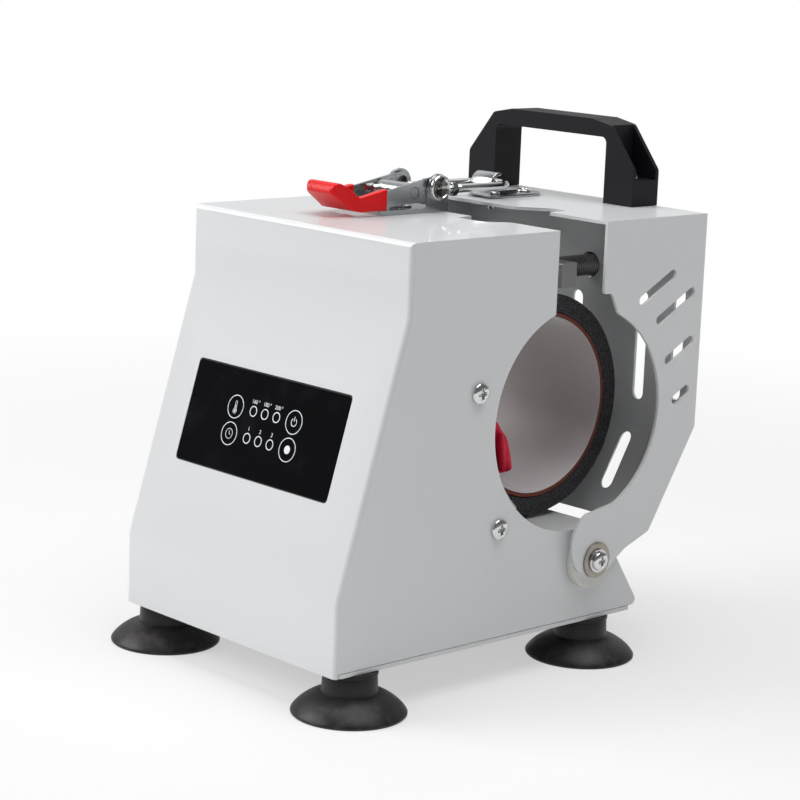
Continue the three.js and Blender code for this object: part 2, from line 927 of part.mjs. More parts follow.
function makeBoard() {
  const front = housing.sheet + fit.slip;
  const plate = slopeBlock(panel.width / 2 + panel.boardMargin, panel.height + 2 * panel.boardMargin,
    front, front + panel.board, panel.corner);
  const middle = -panel.fromBend - panel.height / 2;
  const block = (x, width, height, depth) => alongY(
    rectangle(x - width / 2, x + width / 2, middle - height / 2, middle + height / 2),
    front + panel.board / 2, front + panel.board + depth);
  const core = block(panel.middleX - panel.width / 4, panel.coreWidth, panel.coreHeight,
    panel.coreDepth);
  const relays = [0, 1].map((k) => block(
    panel.middleX + panel.partGap + k * (panel.relayWidth + panel.partGap) + panel.relayWidth / 2,
    panel.relayWidth, panel.relayHeight, panel.relayDepth));
  return joined(plate, core, ...relays);
}

// Jaw outlines
function jawLine() {
  const run = (jawBack - jawLow) / (jaw.backBend - jaw.lowZ);
  return [
    [jawLow - run * jaw.lowZ, 0],
    [jawBack, jaw.backBend],
    [jawBack, jawTop],
  ];
}

function jawSideOutline() {
  const mouth = arc(bandY + jaw.arcBehind, bandZ, jaw.arcRadius, jaw.arcStartAngle,
    jaw.arcEndAngle);
  const front = rounded([
    [jawFront, jawTop],
    [jawFront, jaw.stepZ, jaw.bend / 2],
    [jawFront + jaw.step, jaw.stepZ, jaw.stepRadius],
    [jawFront + jaw.throat, jaw.throatZ, jaw.stepRadius],
    [mouth[0].x, mouth[0].y],
  ], false);
  const lugZ = hinge.z + jaw.lugUp;
  const lug = arc(hinge.y, lugZ, jaw.lugRadius, jaw.lugStartAngle, jaw.lugEndAngle);
  const rear = rounded([
    [lug[lug.length - 1].x, lug[lug.length - 1].y],
    [hinge.y + jaw.neckBehind, hinge.z + jaw.neckUp, jaw.neckRadius],
    [jawLow, jaw.lowZ, jaw.heelRadius],
    [jawBack, jaw.backBend, jaw.heelRadius],
    [jawBack, jawTop, jaw.bend],
    [jawFront, jawTop],
  ], false);
  return [...front, ...mouth.slice(1), ...lug, ...rear.slice(1, -1)];
}

function makeJawShell() {
  const line = jawLine();
  const outer = foldedBlock(jawHalf, line, -far, jaw.bend)
    .intersect(alongX(jawSideOutline(), -jawHalf, jawHalf));
  const hollowLine = moved(line, jaw.sheet);
  hollowLine[0][1] = -fit.overrun;
  hollowLine[hollowLine.length - 1][1] = jawTop - jaw.sheet;
  const hollow = foldedBlock(jawHalf - jaw.sheet, hollowLine, -far, jaw.bend - jaw.sheet);
  const sideSlots = sideSlotShares.map(({ inShare, upShare, lengthShare }) => alongX(
    slot(jawBack - jaw.depth * inShare, jawTop * upShare, jaw.depth * lengthShare,
      slots.sideWidth, slots.sideAngle), -far, far));
  const backSlot = (x, foot0, top0) => alongY(
    slot(x, (foot0 + top0) / 2, top0 - foot0, slots.backWidth, 90), jawFront, far);
  const backSlots = [
    backSlot(0, slots.middleFoot, slots.middleTop),
    ...sides.flatMap(([, side]) => [
      backSlot(side * slots.innerX, slots.innerFoot, slots.innerTop),
      backSlot(side * (jawHalf - slots.outerInset), slots.outerFoot, slots.outerTop),
      backSlot(side * slots.innerX, slots.lowerFoot, slots.lowerTop),
    ]),
  ];
  const holes = [
    alongY(circle(press.x, rodZ, press.hole, arcStep), jawFront, far),
    axleX(hinge.shank + fit.slip, -far, far, hinge.y, hinge.z),
    ...[catchScrewNear, catchScrewFar].map((y) => (
      pinZ(catchPlate.screwRadius + fit.slip, jawTop - fit.overrun, far, latch.x, y))),
    ...sides.map(([, side]) => pinZ(handle.screwRadius + fit.slip, jawTop - fit.overrun, far,
      handle.middleX + side * handle.screwAt, handleY)),
    ...rivetPlaces().map((x) => rivetTool(x, rearShell.rivet + fit.slip)),
  ];
  const front = alongZ(waveEdge(jawHalf, jawFront, 1, wave.jawRecess, false),
    jawTop - fit.overrun, jawTop + fit.overrun);
  return cut(outer, hollow, ...sideSlots, ...backSlots, ...holes, front);
}

// Carry handle: bridge with sloping shoulders and a screw pocket in each
function makeCarryHandle() {
  const at = (off, height, radius = 0) => [handle.middleX + off, jawTop + height, radius];
  const outline = rounded([
    at(-handle.halfBase, 0),
    at(-handle.halfWindow, 0),
    at(-handle.halfWindow, handle.windowHeight, handle.windowRadius),
    at(handle.halfWindow, handle.windowHeight, handle.windowRadius),
    at(handle.halfWindow, 0),
    at(handle.halfBase, 0),
    at(handle.halfBase, handle.legHeight, handle.windowRadius),
    at(handle.halfShoulder, handle.shoulderHeight, handle.windowRadius),
    at(handle.halfTop, handle.topHeight, handle.windowRadius),
    at(-handle.halfTop, handle.topHeight, handle.windowRadius),
    at(-handle.halfShoulder, handle.shoulderHeight, handle.windowRadius),
    at(-handle.halfBase, handle.legHeight, handle.windowRadius),
  ]);
  const front = handleY - handle.depth / 2;
  const back = handleY + handle.depth / 2;
  const pockets = sides.map(([, side]) => {
    const edges = [side * (handle.halfWindow + handle.pocketWall),
      side * (handle.halfBase + fit.overrun)].sort((a, b) => a - b);
    return alongY(rectangle(handle.middleX + edges[0], handle.middleX + edges[1],
      jawTop + handle.pocketFloor, jawTop + handle.topHeight + fit.overrun),
    front + handle.pocketWall, back - handle.pocketWall);
  });
  const holes = sides.map(([, side]) => pinZ(handle.screwRadius + fit.slip, jawTop - fit.overrun,
    jawTop + handle.pocketFloor + fit.overrun, handle.middleX + side * handle.screwAt,
    handleY));
  return cut(alongY(outline, front, back), ...pockets, ...holes);
}

function makeHandleScrew(side) {
  const profile = screwProfile(handle.screwHead, handle.screwHeadHeight, handle.screwRadius,
    handle.pocketFloor + jaw.sheet + handle.screwTail);
  return turned(profile, axisZ, handle.middleX + side * handle.screwAt, handleY,
    jawTop + handle.pocketFloor, 16);
}

// Latch pieces
function latchScrewPlaces() {
  return [
    ['front', latchFront + latch.screwFront],
    ['rear', pivotY - latch.screwRear],
  ];
}

function makeLatchBase() {
  const rear = pivotY + latch.cheekRadius;
  const seat = housingTop;
  const top = seat + latch.baseSheet;
  const plate = alongZ(rectangle(latch.x - latch.half, latch.x + latch.half, latchFront, rear),
    seat, top);
  const cheek = rounded([
    [latchFront, seat],
    [rear, seat, latch.baseSheet],
    [rear, pivotZ + latch.cheekRadius, latch.cheekRadius],
    [pivotY - latch.cheekRadius, pivotZ + latch.cheekRadius, latch.cheekRadius],
    [pivotY - latch.cheekRadius, top + latch.cheekStep, latch.cheekStep / 2],
    [pivotY - latch.cheekRadius - latch.cheekStep, top + latch.lip],
    [latchFront, top + latch.lip],
  ]);
  const cheeks = sides.map(([, side]) => {
    const edges = [side * latch.half, side * (latch.half - latch.sheet)].sort((a, b) => a - b);
    return alongX(cheek, latch.x + edges[0], latch.x + edges[1]);
  });
  const holes = latchScrewPlaces().map(([, y]) => (
    pinZ(latch.screwRadius + fit.slip, seat - fit.overrun, far, latch.x, y)));
  const pivot = axleX(latch.rivet + fit.slip, -far, far, pivotY, pivotZ);
  return cut(joined(plate, ...cheeks), ...holes, pivot);
}

const armOuter = latch.half - latch.sheet - fit.running;
const armInner = armOuter - latch.sheet;

function makeRivet(side) {
  const profile = screwProfile(latch.rivetHead, latch.rivetHeadHeight, latch.rivet,
    latch.half - armInner);
  return turned(profile, new THREE.Vector3(side, 0, 0), latch.x + side * latch.half,
    pivotY, pivotZ, 24);
}

// Corners given ahead of the pivot and above it, with their radii
function aheadOfPivot(corners) {
  return rounded(corners.map(([ahead, up, radius]) => [pivotY - ahead, pivotZ + up, radius]));
}

// Lever arm seen from the side; grow widens it all round for the coating's pocket
function armOutline(grow) {
  const knuckle = arc(pivotY, pivotZ, latch.armRadius + grow, -100, 105, arcStep);
  return [
    ...knuckle,
    ...aheadOfPivot([
      [lever.gripEnd, lever.armTop + grow],
      [lever.armFront + grow, lever.armEndTop + grow],
      [lever.armFront + grow, lever.armFoot - grow],
      [lever.gripEnd, lever.armFoot - grow],
      [lever.heel, lever.heelUp - grow],
    ]),
  ];
}

function tongueOutline(grow) {
  return aheadOfPivot([
    [lever.armFront - latch.sheet - grow, lever.tongueStartUp + latch.sheet + grow],
    [lever.tongueStart - grow, lever.tongueStartUp + latch.sheet + grow],
    [lever.tongueEnd + grow, lever.tongueEndUp + latch.sheet + grow],
    [lever.tongueEnd + grow, lever.tongueEndUp - grow],
    [lever.tongueStart + grow, lever.tongueStartUp - grow],
    [lever.tongueStart + grow, lever.armFoot - grow],
    [lever.armFront - latch.sheet - grow, lever.armFoot - grow],
  ]);
}

function leverSolid(grow) {
  const arms = sides.map(([, side]) => {
    const edges = [side * (armOuter + grow), side * (armInner - grow)].sort((a, b) => a - b);
    return alongX(armOutline(grow), latch.x + edges[0], latch.x + edges[1]);
  });
  const bridgeHalf = armOuter + grow;
  const bridge = alongX(tongueOutline(grow), latch.x - bridgeHalf, latch.x + bridgeHalf);
  const tongueHalf = lever.tongueHalf + grow;
  const wideFrom = pivotY - lever.tongueStart - grow;
  const narrowTo = pivotY - lever.rise;
  const narrow = alongZ(rounded([
    [latch.x - tongueHalf, -far],
    [latch.x + tongueHalf, -far],
    [latch.x + tongueHalf, narrowTo],
    [latch.x + bridgeHalf, wideFrom],
    [latch.x + bridgeHalf, far],
    [latch.x - bridgeHalf, far],
    [latch.x - bridgeHalf, wideFrom],
    [latch.x - tongueHalf, narrowTo],
  ]), 0, far);
  return joined(...arms, bridge.intersect(narrow));
}

function makeLever() {
  const holes = [
    axleX(latch.rivet + fit.slip, -far, far, pivotY, pivotZ),
    axleX(bolt.pin + fit.slip, -far, far, barrelY, barrelZ),
  ];
  return cut(leverSolid(0), ...holes);
}

function makeGrip() {
  const outline = aheadOfPivot([
    [lever.gripEnd, lever.gripFoot],
    [lever.gripEnd, lever.gripTop],
    [lever.crotch, lever.crotchUp, lever.coat],
    [lever.rise, lever.riseUp, lever.tongueBend],
    [lever.crest, lever.crestUp, lever.corner],
    [lever.tip, lever.tipFoot, lever.coat],
    [lever.gripRoot, lever.gripFoot, lever.tongueBend],
  ]);
  const gripHalf = armOuter + fit.slip + lever.coat;
  const prongInner = armInner - fit.slip - lever.coat;
  const body = alongX(outline, latch.x - gripHalf, latch.x + gripHalf);
  const plan = alongZ(rounded([
    [latch.x - gripHalf, far],
    [latch.x - gripHalf, pivotY - lever.crotch, lever.coat],
    [latch.x - lever.waistHalf, pivotY - lever.rise, lever.coat],
    [latch.x - lever.tipHalf, pivotY - lever.tip, lever.corner],
    [latch.x + lever.tipHalf, pivotY - lever.tip, lever.corner],
    [latch.x + lever.waistHalf, pivotY - lever.rise, lever.coat],
    [latch.x + gripHalf, pivotY - lever.crotch, lever.coat],
    [latch.x + gripHalf, far],
  ]), 0, far);
  const between = alongZ(rectangle(latch.x - prongInner, latch.x + prongInner,
    pivotY - lever.crotch + 2 * lever.coat, pivotY - lever.gripEnd + fit.overrun), 0, far);
  return body.intersect(plan).subtract(between).subtract(leverSolid(fit.slip));
}

// Looped bolt lies in a plane that dips from the barrel to the catch
const boltRear = hookTip + bolt.behindHook - barrelY;
const boltDrop = barrelZ - jawTop - bolt.aboveJaw;
const boltDip = Math.atan2(boltDrop, boltRear);
const boltLength = Math.hypot(boltRear, boltDrop);
const boltFrame = new THREE.Matrix4().makeRotationX(-boltDip)
  .setPosition(latch.x, barrelY, barrelZ);

function boltLegTool(side, radius) {
  const leg = new THREE.CylinderGeometry(radius, radius, 2 * boltLength, 16);
  return toSolid(leg.translate(side * bolt.legOff, 0, 0).applyMatrix4(boltFrame));
}

function makeBolt() {
  const bendSteps = 12;
  const legSteps = 6;
  const bendStart = boltLength - bolt.legOff;
  const leg = (k) => -bolt.ahead + (bendStart + bolt.ahead) * k / legSteps;
  const points = [];
  for (let k = 0; k < legSteps; k += 1) {
    points.push(new THREE.Vector3(bolt.legOff, leg(k), 0));
  }
  for (let k = 0; k <= bendSteps; k += 1) {
    const angle = Math.PI * k / bendSteps;
    points.push(new THREE.Vector3(bolt.legOff * Math.cos(angle),
      bendStart + bolt.legOff * Math.sin(angle), 0));
  }
  for (let k = legSteps - 1; k >= 0; k -= 1) {
    points.push(new THREE.Vector3(-bolt.legOff, leg(k), 0));
  }
  const ring = new THREE.Shape(circle(0, 0, bolt.wire, 36 * degree));
  const wire = new THREE.ExtrudeGeometry(ring, {
    steps: 48,
    extrudePath: new THREE.CatmullRomCurve3(points, false, 'centripetal'),
  });
  return toSolid(wire.applyMatrix4(boltFrame));
}

function makeBarrel() {
  const pinEnd = armOuter - fit.running;
  const drum = armInner - fit.slip;
  const profile = [
    [0, -pinEnd], [bolt.pin, -pinEnd], [bolt.pin, -drum], [bolt.barrelRadius, -drum],
    [bolt.barrelRadius, drum], [bolt.pin, drum], [bolt.pin, pinEnd], [0, pinEnd],
  ];
  const body = turned(profile, axisX, latch.x, barrelY, barrelZ, 24);
  return cut(body, ...sides.map(([, side]) => boltLegTool(side, bolt.wire + fit.slip)));
}

function makeBoltNut(side) {
  const outline = hexagon(side * bolt.legOff, 0, bolt.nutWidth);
  const nut = alongY(outline, bolt.nutFrom, bolt.nutFrom + bolt.nutHeight);
  const placed = toSolid(toGeometry(nut).applyMatrix4(boltFrame));
  return placed.subtract(boltLegTool(side, bolt.wire + fit.slip));
}

function makeCatch() {
  const plateEnd = hookBend + catchPlate.length;
  const line = [
    [hookTip, jawTop + catchPlate.rise],
    [hookBend, jawTop, catchPlate.bend],
    [plateEnd, jawTop],
  ];
  const section = strip(line, catchPlate.sheet);
  const wide = alongX(section, latch.x - catchPlate.half, latch.x + catchPlate.half);
  const hookHalf = catchPlate.hookHalf;
  const wideFrom = hookTip + catchPlate.sheet;
  const endRadius = catchPlate.half * catchPlate.endShare;
  const plan = alongZ(rounded([
    [latch.x - hookHalf, hookBend - fit.overrun],
    [latch.x + hookHalf, hookBend - fit.overrun],
    [latch.x + hookHalf, wideFrom],
    [latch.x + catchPlate.half, wideFrom + catchPlate.bend],
    [latch.x + catchPlate.half, plateEnd, endRadius],
    [latch.x - catchPlate.half, plateEnd, endRadius],
    [latch.x - catchPlate.half, wideFrom + catchPlate.bend],
    [latch.x - hookHalf, wideFrom],
  ]), 0, far);
  const holes = [catchScrewNear, catchScrewFar].map((y) => pinZ(
    catchPlate.screwRadius + fit.slip, jawTop - fit.overrun, jawTop + catchPlate.sheet + fit.slip,
    latch.x, y));
  return cut(wide.intersect(plan), ...holes);
}

function makeCatchScrew(y) {
  const profile = screwProfile(catchPlate.screwHead, catchPlate.screwHeadHeight,
    catchPlate.screwRadius, catchPlate.sheet + jaw.sheet + catchPlate.screwTail);
  return turned(profile, axisZ, latch.x, y, jawTop + catchPlate.sheet, 16);
}

// Hinge pieces, from the housing outwards
const lugInner = jawHalf - jaw.sheet;
const spacerEdge = lugInner - fit.running;

function makeSpacer(side) {
  const bore = hinge.shank + fit.slip;
  const chamfer = hinge.spacerChamfer;
  const profile = [
    [bore, halfWidth],
    [hinge.spacerRadius, halfWidth],
    [hinge.spacerRadius, spacerEdge - chamfer],
    [hinge.spacerRadius - chamfer, spacerEdge],
    [bore, spacerEdge],
    [bore, halfWidth],
  ];
  return turned(profile, new THREE.Vector3(side, 0, 0), 0, hinge.y, hinge.z, 40);
}

function makeWasher(side) {
  const bore = hinge.shank + fit.slip;
  const start = jawHalf + fit.running;
  const profile = [
    [bore, start],
    [hinge.washerRadius, start],
    [hinge.washerRadius, start + hinge.washer],
    [bore, start + hinge.washer],
    [bore, start],
  ];
  return turned(profile, new THREE.Vector3(side, 0, 0), 0, hinge.y, hinge.z, 32);
}

function makeHingeBolt(side) {
  const seat = jawHalf + fit.running + hinge.washer;
  const length = seat - innerHalf + hinge.nutHeight + hinge.tail;
  const profile = screwProfile(hinge.head, hinge.headHeight, hinge.shank, length);
  return screwAlongX(profile, side, seat, hinge.y, hinge.z, 28);
}

function makeHingeNut(side) {
  const edges = [side * innerHalf, side * (innerHalf - hinge.nutHeight)].sort((a, b) => a - b);
  return alongX(hexagon(hinge.y, hinge.z, hinge.nutWidth), edges[0], edges[1],
    [circle(hinge.y, hinge.z, hinge.shank + fit.slip, arcStep)]);
}

// Pressure screw pieces
function makeCrossBar() {
  const outline = rectangle(barFront, barFront + press.barDepth,
    rodZ - press.barHalfHeight, rodZ + press.barHalfHeight, press.barChamfer);
  const bar = alongX(outline, press.x - press.barHalf, press.x + press.barHalf);
  const bore = alongY(circle(press.x, rodZ, press.rod + fit.slip, arcStep),
    barFront + press.rodSeat, far);
  return bar.subtract(bore);
}

const knobFront = jawBack + press.nutHeight + press.knobGap;
const knobBack = knobFront + press.hubDepth + press.knobDepth;

function makeRod() {
  const start = barFront + press.rodSeat + fit.slip;
  return alongY(circle(press.x, rodZ, press.rod, arcStep), start, knobBack - press.knobFloor);
}

function makePressureNut() {
  return alongY(hexagon(press.x, rodZ, press.nutWidth), jawBack, jawBack + press.nutHeight,
    [circle(press.x, rodZ, press.rod + fit.slip, arcStep)]);
}

function makeKnob() {
  const count = 70;
  const rim = Array.from({ length: count }, (_, k) => {
    const angle = 2 * Math.PI * k / count;
    const radius = press.knobRadius + press.knobLobe * Math.cos(press.knobLobes * angle);
    return new THREE.Vector2(press.x + radius * Math.cos(angle), rodZ + radius * Math.sin(angle));
  });
  const grip = alongY(rim, knobFront + press.hubDepth, knobBack);
  const hub = alongY(circle(press.x, rodZ, press.hubRadius), knobFront,
    knobFront + press.hubDepth + press.knobLobe);
  const bore = alongY(circle(press.x, rodZ, press.rod + fit.slip, arcStep), 0,
    knobBack - press.knobFloor + fit.slip);
  return joined(grip, hub).subtract(bore);
}

// Rear shell: where its pad and its leg lie
const shellInner = band.foamOuter + fit.slip;
const shellOuter = shellInner + rearShell.sheet;
const wallAngle = Math.atan2(jaw.backBend - jaw.lowZ, jawBack - jawLow);
const wallAlong = new THREE.Vector2(Math.cos(wallAngle), Math.sin(wallAngle));
const wallInward = new THREE.Vector2(-Math.sin(wallAngle), Math.cos(wallAngle));

function shellFoot() {
  const middle = (shellInner + shellOuter) / 2;
  const start = arc(bandY, bandZ, middle, rearShell.startAngle, 0)[0];
  const fromWall = start.clone().sub(new THREE.Vector2(jawLow, jaw.lowZ)).dot(wallInward);
  const seat = fromWall - jaw.sheet - fit.slip - rearShell.sheet;
  return { start, heel: start.clone().addScaledVector(wallInward, -seat) };
}

function rivetPlaces() {
  return sides.map(([, side]) => rearShell.legMiddle + side * rearShell.rivetOff);
}

function rivetSeat() {
  const { heel } = shellFoot();
  return heel.clone().addScaledVector(wallAlong, rearShell.rivetAlong);
}

// Turned body square to the sloping wall; heights count outwards from the leg's seat
function squareToWall(profile, x, segments) {
  const seat = rivetSeat();
  const outward = new THREE.Vector3(0, wallInward.x, wallInward.y);
  return turned(profile, outward, x, seat.x, seat.y, segments);
}

function rivetTool(x, radius) {
  const reach = fit.overrun + jaw.sheet;
  return squareToWall([[0, -reach], [radius, -reach], [radius, reach], [0, reach]], x, 16);
}

function makeShellRivet(x) {
  const depth = jaw.sheet + fit.slip + rearShell.sheet + fit.slip;
  const profile = screwProfile(rearShell.rivetHead, rearShell.rivetHeadHeight, rearShell.rivet,
    depth + rearShell.rivetHeadHeight);
  const lifted = profile.map(([radius, height]) => [radius, height + fit.slip]);
  return squareToWall(lifted, x, 16);
}

function makeRearShell() {
  const padBack = barFront - fit.slip;
  const padFront = padBack - rearShell.sheet;
  const end = Math.acos((padBack - bandY) / shellOuter) / degree;
  const wrap = alongX(sector(bandY, bandZ, shellInner, shellOuter, rearShell.startAngle, end),
    rearShell.sideInset - bandHalfLength, bandHalfLength - rearShell.sideInset);
  const padFoot = bandZ + Math.sqrt(shellInner ** 2 - (padFront - bandY) ** 2);
  const pad = alongX(rectangle(padFront, padBack, padFoot, rodZ + rearShell.padTop),
    press.x - rearShell.padHalf, press.x + rearShell.padHalf);
  const { start, heel } = shellFoot();
  const toe = heel.clone().addScaledVector(wallAlong, rearShell.footLength);
  const leg = strip([[toe.x, toe.y], [heel.x, heel.y], [start.x, start.y]], rearShell.sheet);
  const legBody = alongX(leg, rearShell.legMiddle - rearShell.legHalf,
    rearShell.legMiddle + rearShell.legHalf);
  const clear = axleX(shellInner, -far, far, bandY, bandZ, 72);
  const holes = rivetPlaces().map((x) => rivetTool(x, rearShell.rivet + fit.slip));
  return cut(joined(wrap, pad, cut(legBody, clear)), ...holes);
}

// The housing and what is fixed to it
add('housing', 'white', makeHousing());
add('inner_panel', 'white', makeInnerPanel());
add('base_plate', 'white', makeBasePlate());
add('touch_glass', 'glass', makeGlass(), slope);
add('control_board', 'board', makeBoard(), slope);
add('cord_bushing', 'handle', makeGland());
add('front_saddle', 'steel', makeSaddle());
for (const [name, x, y] of footPlaces()) {
  add(`foot_${name}`, 'rubber', makeFoot(x, y));
  add(`foot_screw_${name}`, 'zinc', makeFootScrew(x, y));
}
for (const [sideName, side] of sides) {
  for (const [name, y, z] of sideScrewPlaces) {
    const profile = screwProfile(sideScrew.head, sideScrew.headHeight, sideScrew.radius,
      sideScrew.length);
    add(`side_screw_${name}_${sideName}`, 'zinc', screwAlongX(profile, side, halfWidth, y, z));
  }
}

// The band's layers
for (const [name, isFront] of [['front', true], ['rear', false]]) {
  const gap = band.layerGap;
  add(`band_foam_${name}`, 'foam', bandHalf(band.foamOuter, band.foamInner, isFront));
  add(`band_heater_${name}`, 'heater', bandHalf(band.foamInner - gap, band.heaterInner, isFront));
  add(`band_liner_${name}`, 'liner', bandHalf(band.heaterInner - gap, band.linerInner, isFront));
}
add('lead_sleeve', 'sleeve', makeSleeve());

// The latch
add('latch_base', 'zinc', makeLatchBase());
for (const [name, y] of latchScrewPlaces()) {
  const profile = screwProfile(latch.screwHead, latch.screwHeadHeight, latch.screwRadius,
    latch.baseSheet + housing.sheet + latch.screwTail);
  add(`latch_screw_${name}`, 'zinc',
    turned(profile, axisZ, latch.x, y, housingTop + latch.baseSheet, 16));
}
add('latch_lever', 'zinc', makeLever());
add('latch_grip', 'red', makeGrip());
add('latch_barrel', 'zinc', makeBarrel());
add('draw_bolt', 'zinc', makeBolt());

// The jaw and what is fixed to it
add('jaw_shell', 'white', makeJawShell());
add('carry_handle', 'handle', makeCarryHandle());
add('catch_plate', 'zinc', makeCatch());
add('catch_screw_near', 'zinc', makeCatchScrew(catchScrewNear));
add('catch_screw_far', 'zinc', makeCatchScrew(catchScrewFar));
add('rear_shell', 'dark', makeRearShell());
add('pressure_nut', 'zinc', makePressureNut());
add('cross_bar', 'steel', makeCrossBar());
add('pressure_rod', 'dark', makeRod());
add('pressure_knob', 'handle', makeKnob());
for (const [sideName, side] of sides) {
  add(`latch_rivet_${sideName}`, 'zinc', makeRivet(side));
  add(`draw_bolt_nut_${sideName}`, 'zinc', makeBoltNut(side));
  add(`handle_screw_${sideName}`, 'zinc', makeHandleScrew(side));
  add(`hinge_spacer_${sideName}`, 'nylon', makeSpacer(side));
  add(`hinge_washer_${sideName}`, 'steel', makeWasher(side));
  add(`hinge_bolt_${sideName}`, 'zinc', makeHingeBolt(side));
  add(`hinge_nut_${sideName}`, 'zinc', makeHingeNut(side));
}
for (const [index, x] of rivetPlaces().entries()) {
  add(`shell_rivet_${sides[index][0]}`, 'steel', makeShellRivet(x));
}

// Stand the press on its feet, centred over the origin
const frontEnd = footFront - foot.rim;
const press3d = new THREE.Group();
parts.position.set(0, -(frontEnd + knobBack) / 2, -ground);
press3d.add(parts);

export default press3d;
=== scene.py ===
"""Dresses the solids of a bench mug press: finer surfaces, finishes, stage and camera.

Shapes are worked out in millimetres in the press's own frame: X along the mug, Y from the front
panel to the jaw, Z up, with zero on the housing's lower edge. here() moves them to the part's frame.
"""

import json
import math

import bmesh
import bpy
import numpy as np
from mathutils import Matrix

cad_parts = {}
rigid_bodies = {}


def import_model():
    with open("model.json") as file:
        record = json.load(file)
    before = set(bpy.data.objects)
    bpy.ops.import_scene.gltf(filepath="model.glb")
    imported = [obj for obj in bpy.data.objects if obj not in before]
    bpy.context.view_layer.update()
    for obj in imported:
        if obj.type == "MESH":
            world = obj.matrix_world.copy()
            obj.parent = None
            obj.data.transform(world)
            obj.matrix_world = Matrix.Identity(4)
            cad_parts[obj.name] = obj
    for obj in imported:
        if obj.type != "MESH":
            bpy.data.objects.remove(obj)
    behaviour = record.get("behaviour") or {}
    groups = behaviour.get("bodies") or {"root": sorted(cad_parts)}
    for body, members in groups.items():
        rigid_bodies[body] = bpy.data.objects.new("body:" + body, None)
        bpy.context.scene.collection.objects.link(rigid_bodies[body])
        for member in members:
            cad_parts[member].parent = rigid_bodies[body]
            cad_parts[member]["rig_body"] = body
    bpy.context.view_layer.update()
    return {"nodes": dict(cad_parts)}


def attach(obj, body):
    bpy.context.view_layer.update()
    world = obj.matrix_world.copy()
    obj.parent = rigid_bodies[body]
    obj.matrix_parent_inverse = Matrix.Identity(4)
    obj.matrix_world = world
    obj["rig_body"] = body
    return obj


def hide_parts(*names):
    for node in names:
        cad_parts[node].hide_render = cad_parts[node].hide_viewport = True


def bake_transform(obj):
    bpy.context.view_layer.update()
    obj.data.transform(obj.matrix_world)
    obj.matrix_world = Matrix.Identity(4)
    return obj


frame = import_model()

bl_info = {
    "name": "Mug press dressing",
    "version": (1, 0, 0),
    "blender": (4, 5, 0),
    "location": "View3D > Sidebar > Mug press",
    "description": "Adds surfaces, finishes, a stage and a camera to the solids of a bench mug press",
    "category": "Object",
}

# Millimetres that several pieces share. The two lines run along X, so each is a (Y, Z).
FLOOR_BELOW = 22.2
SHIFT = np.array((0.0, -83.725, FLOOR_BELOW))
HINGE_LINE = (119.3, 28.4)
RIVET_LINE = (84.9, 195.3)
LATCH_MIDDLE = -13.2
JAW_TOP, CATCH_SHEET = 187.12, 1.5

SIDES = (("left", -1), ("right", 1))

# Angles above which an edge stays sharp
SOFT_CREASE, NUT_CREASE, CURL_CREASE, THREAD_CREASE = (math.radians(v) for v in (38, 24, 50, 60))

AXIS_X = np.array((1.0, 0.0, 0.0))
AXIS_Y = np.array((0.0, 1.0, 0.0))
AXIS_Z = np.array((0.0, 0.0, 1.0))


def here(points):
    """Millimetres in the press's frame become metres in the part's frame."""
    return (np.asarray(points, float) + SHIFT) * 0.001


# Sizes and colours


def length(name, description, default):
    """Size in millimetres for the panel."""
    return bpy.props.FloatProperty(name=name, description=description, default=default, precision=3)


def colour(name, description, *rgb):
    """Colour for the panel."""
    return bpy.props.FloatVectorProperty(
        name=name, description=description, default=rgb, min=0.0, max=1.0, size=3, subtype="COLOR"
    )


class PressSizes(bpy.types.PropertyGroup):
    """Sizes in millimetres."""

    sheet_edge: length("Sheet edge", "Rounding of the coated sheets' cut edges", 0.60)
    wire_radius: length("Wire radius", "Radius of the latch's looped bolt", 2.1)
    wire_pitch: length("Wire pitch", "Pitch of the thread on the looped bolt", 0.8)
    rod_radius: length("Rod radius", "Outer radius of the pressure rod", 5.3)
    rod_pitch: length("Rod pitch", "Pitch of the pressure rod's thread", 1.5)
    foot_rim: length("Foot rim", "Outer radius of a suction foot", 25.75)
    glass_print: length("Print height", "Height of the print above the glass", 0.04)
    digit_height: length("Digit height", "Height of the numerals on the glass", 1.9)


class PressColours(bpy.types.PropertyGroup):
    """Colours as they are written in the finishes."""

    coat: colour("Coat", "Powder coat of the sheets", 0.71, 0.725, 0.735)
    grip: colour("Grip", "Dipped vinyl of the latch grip", 0.76, 0.006, 0.009)
    rubber: colour("Rubber", "Rubber of the feet", 0.0105, 0.0098, 0.0098)
    foam: colour("Foam", "Foam of the heating band", 0.036, 0.036, 0.039)
    heater: colour("Heater", "Silicone of the heating band", 0.19, 0.042, 0.024)
    liner: colour("Liner", "Satin liner of the heating band", 0.50, 0.455, 0.455)
    sleeve: colour("Sleeve", "Sleeve of the heater's leads", 0.72, 0.009, 0.046)
    handle: colour("Handle", "Moulded plastic of the handle and knob", 0.0075, 0.0079, 0.0104)
    nylon: colour("Nylon", "Nylon spacers of the hinge", 0.78, 0.78, 0.74)


def sizes():
    return bpy.context.scene.press_sizes


def colours():
    return bpy.context.scene.press_colours


# Shader maths


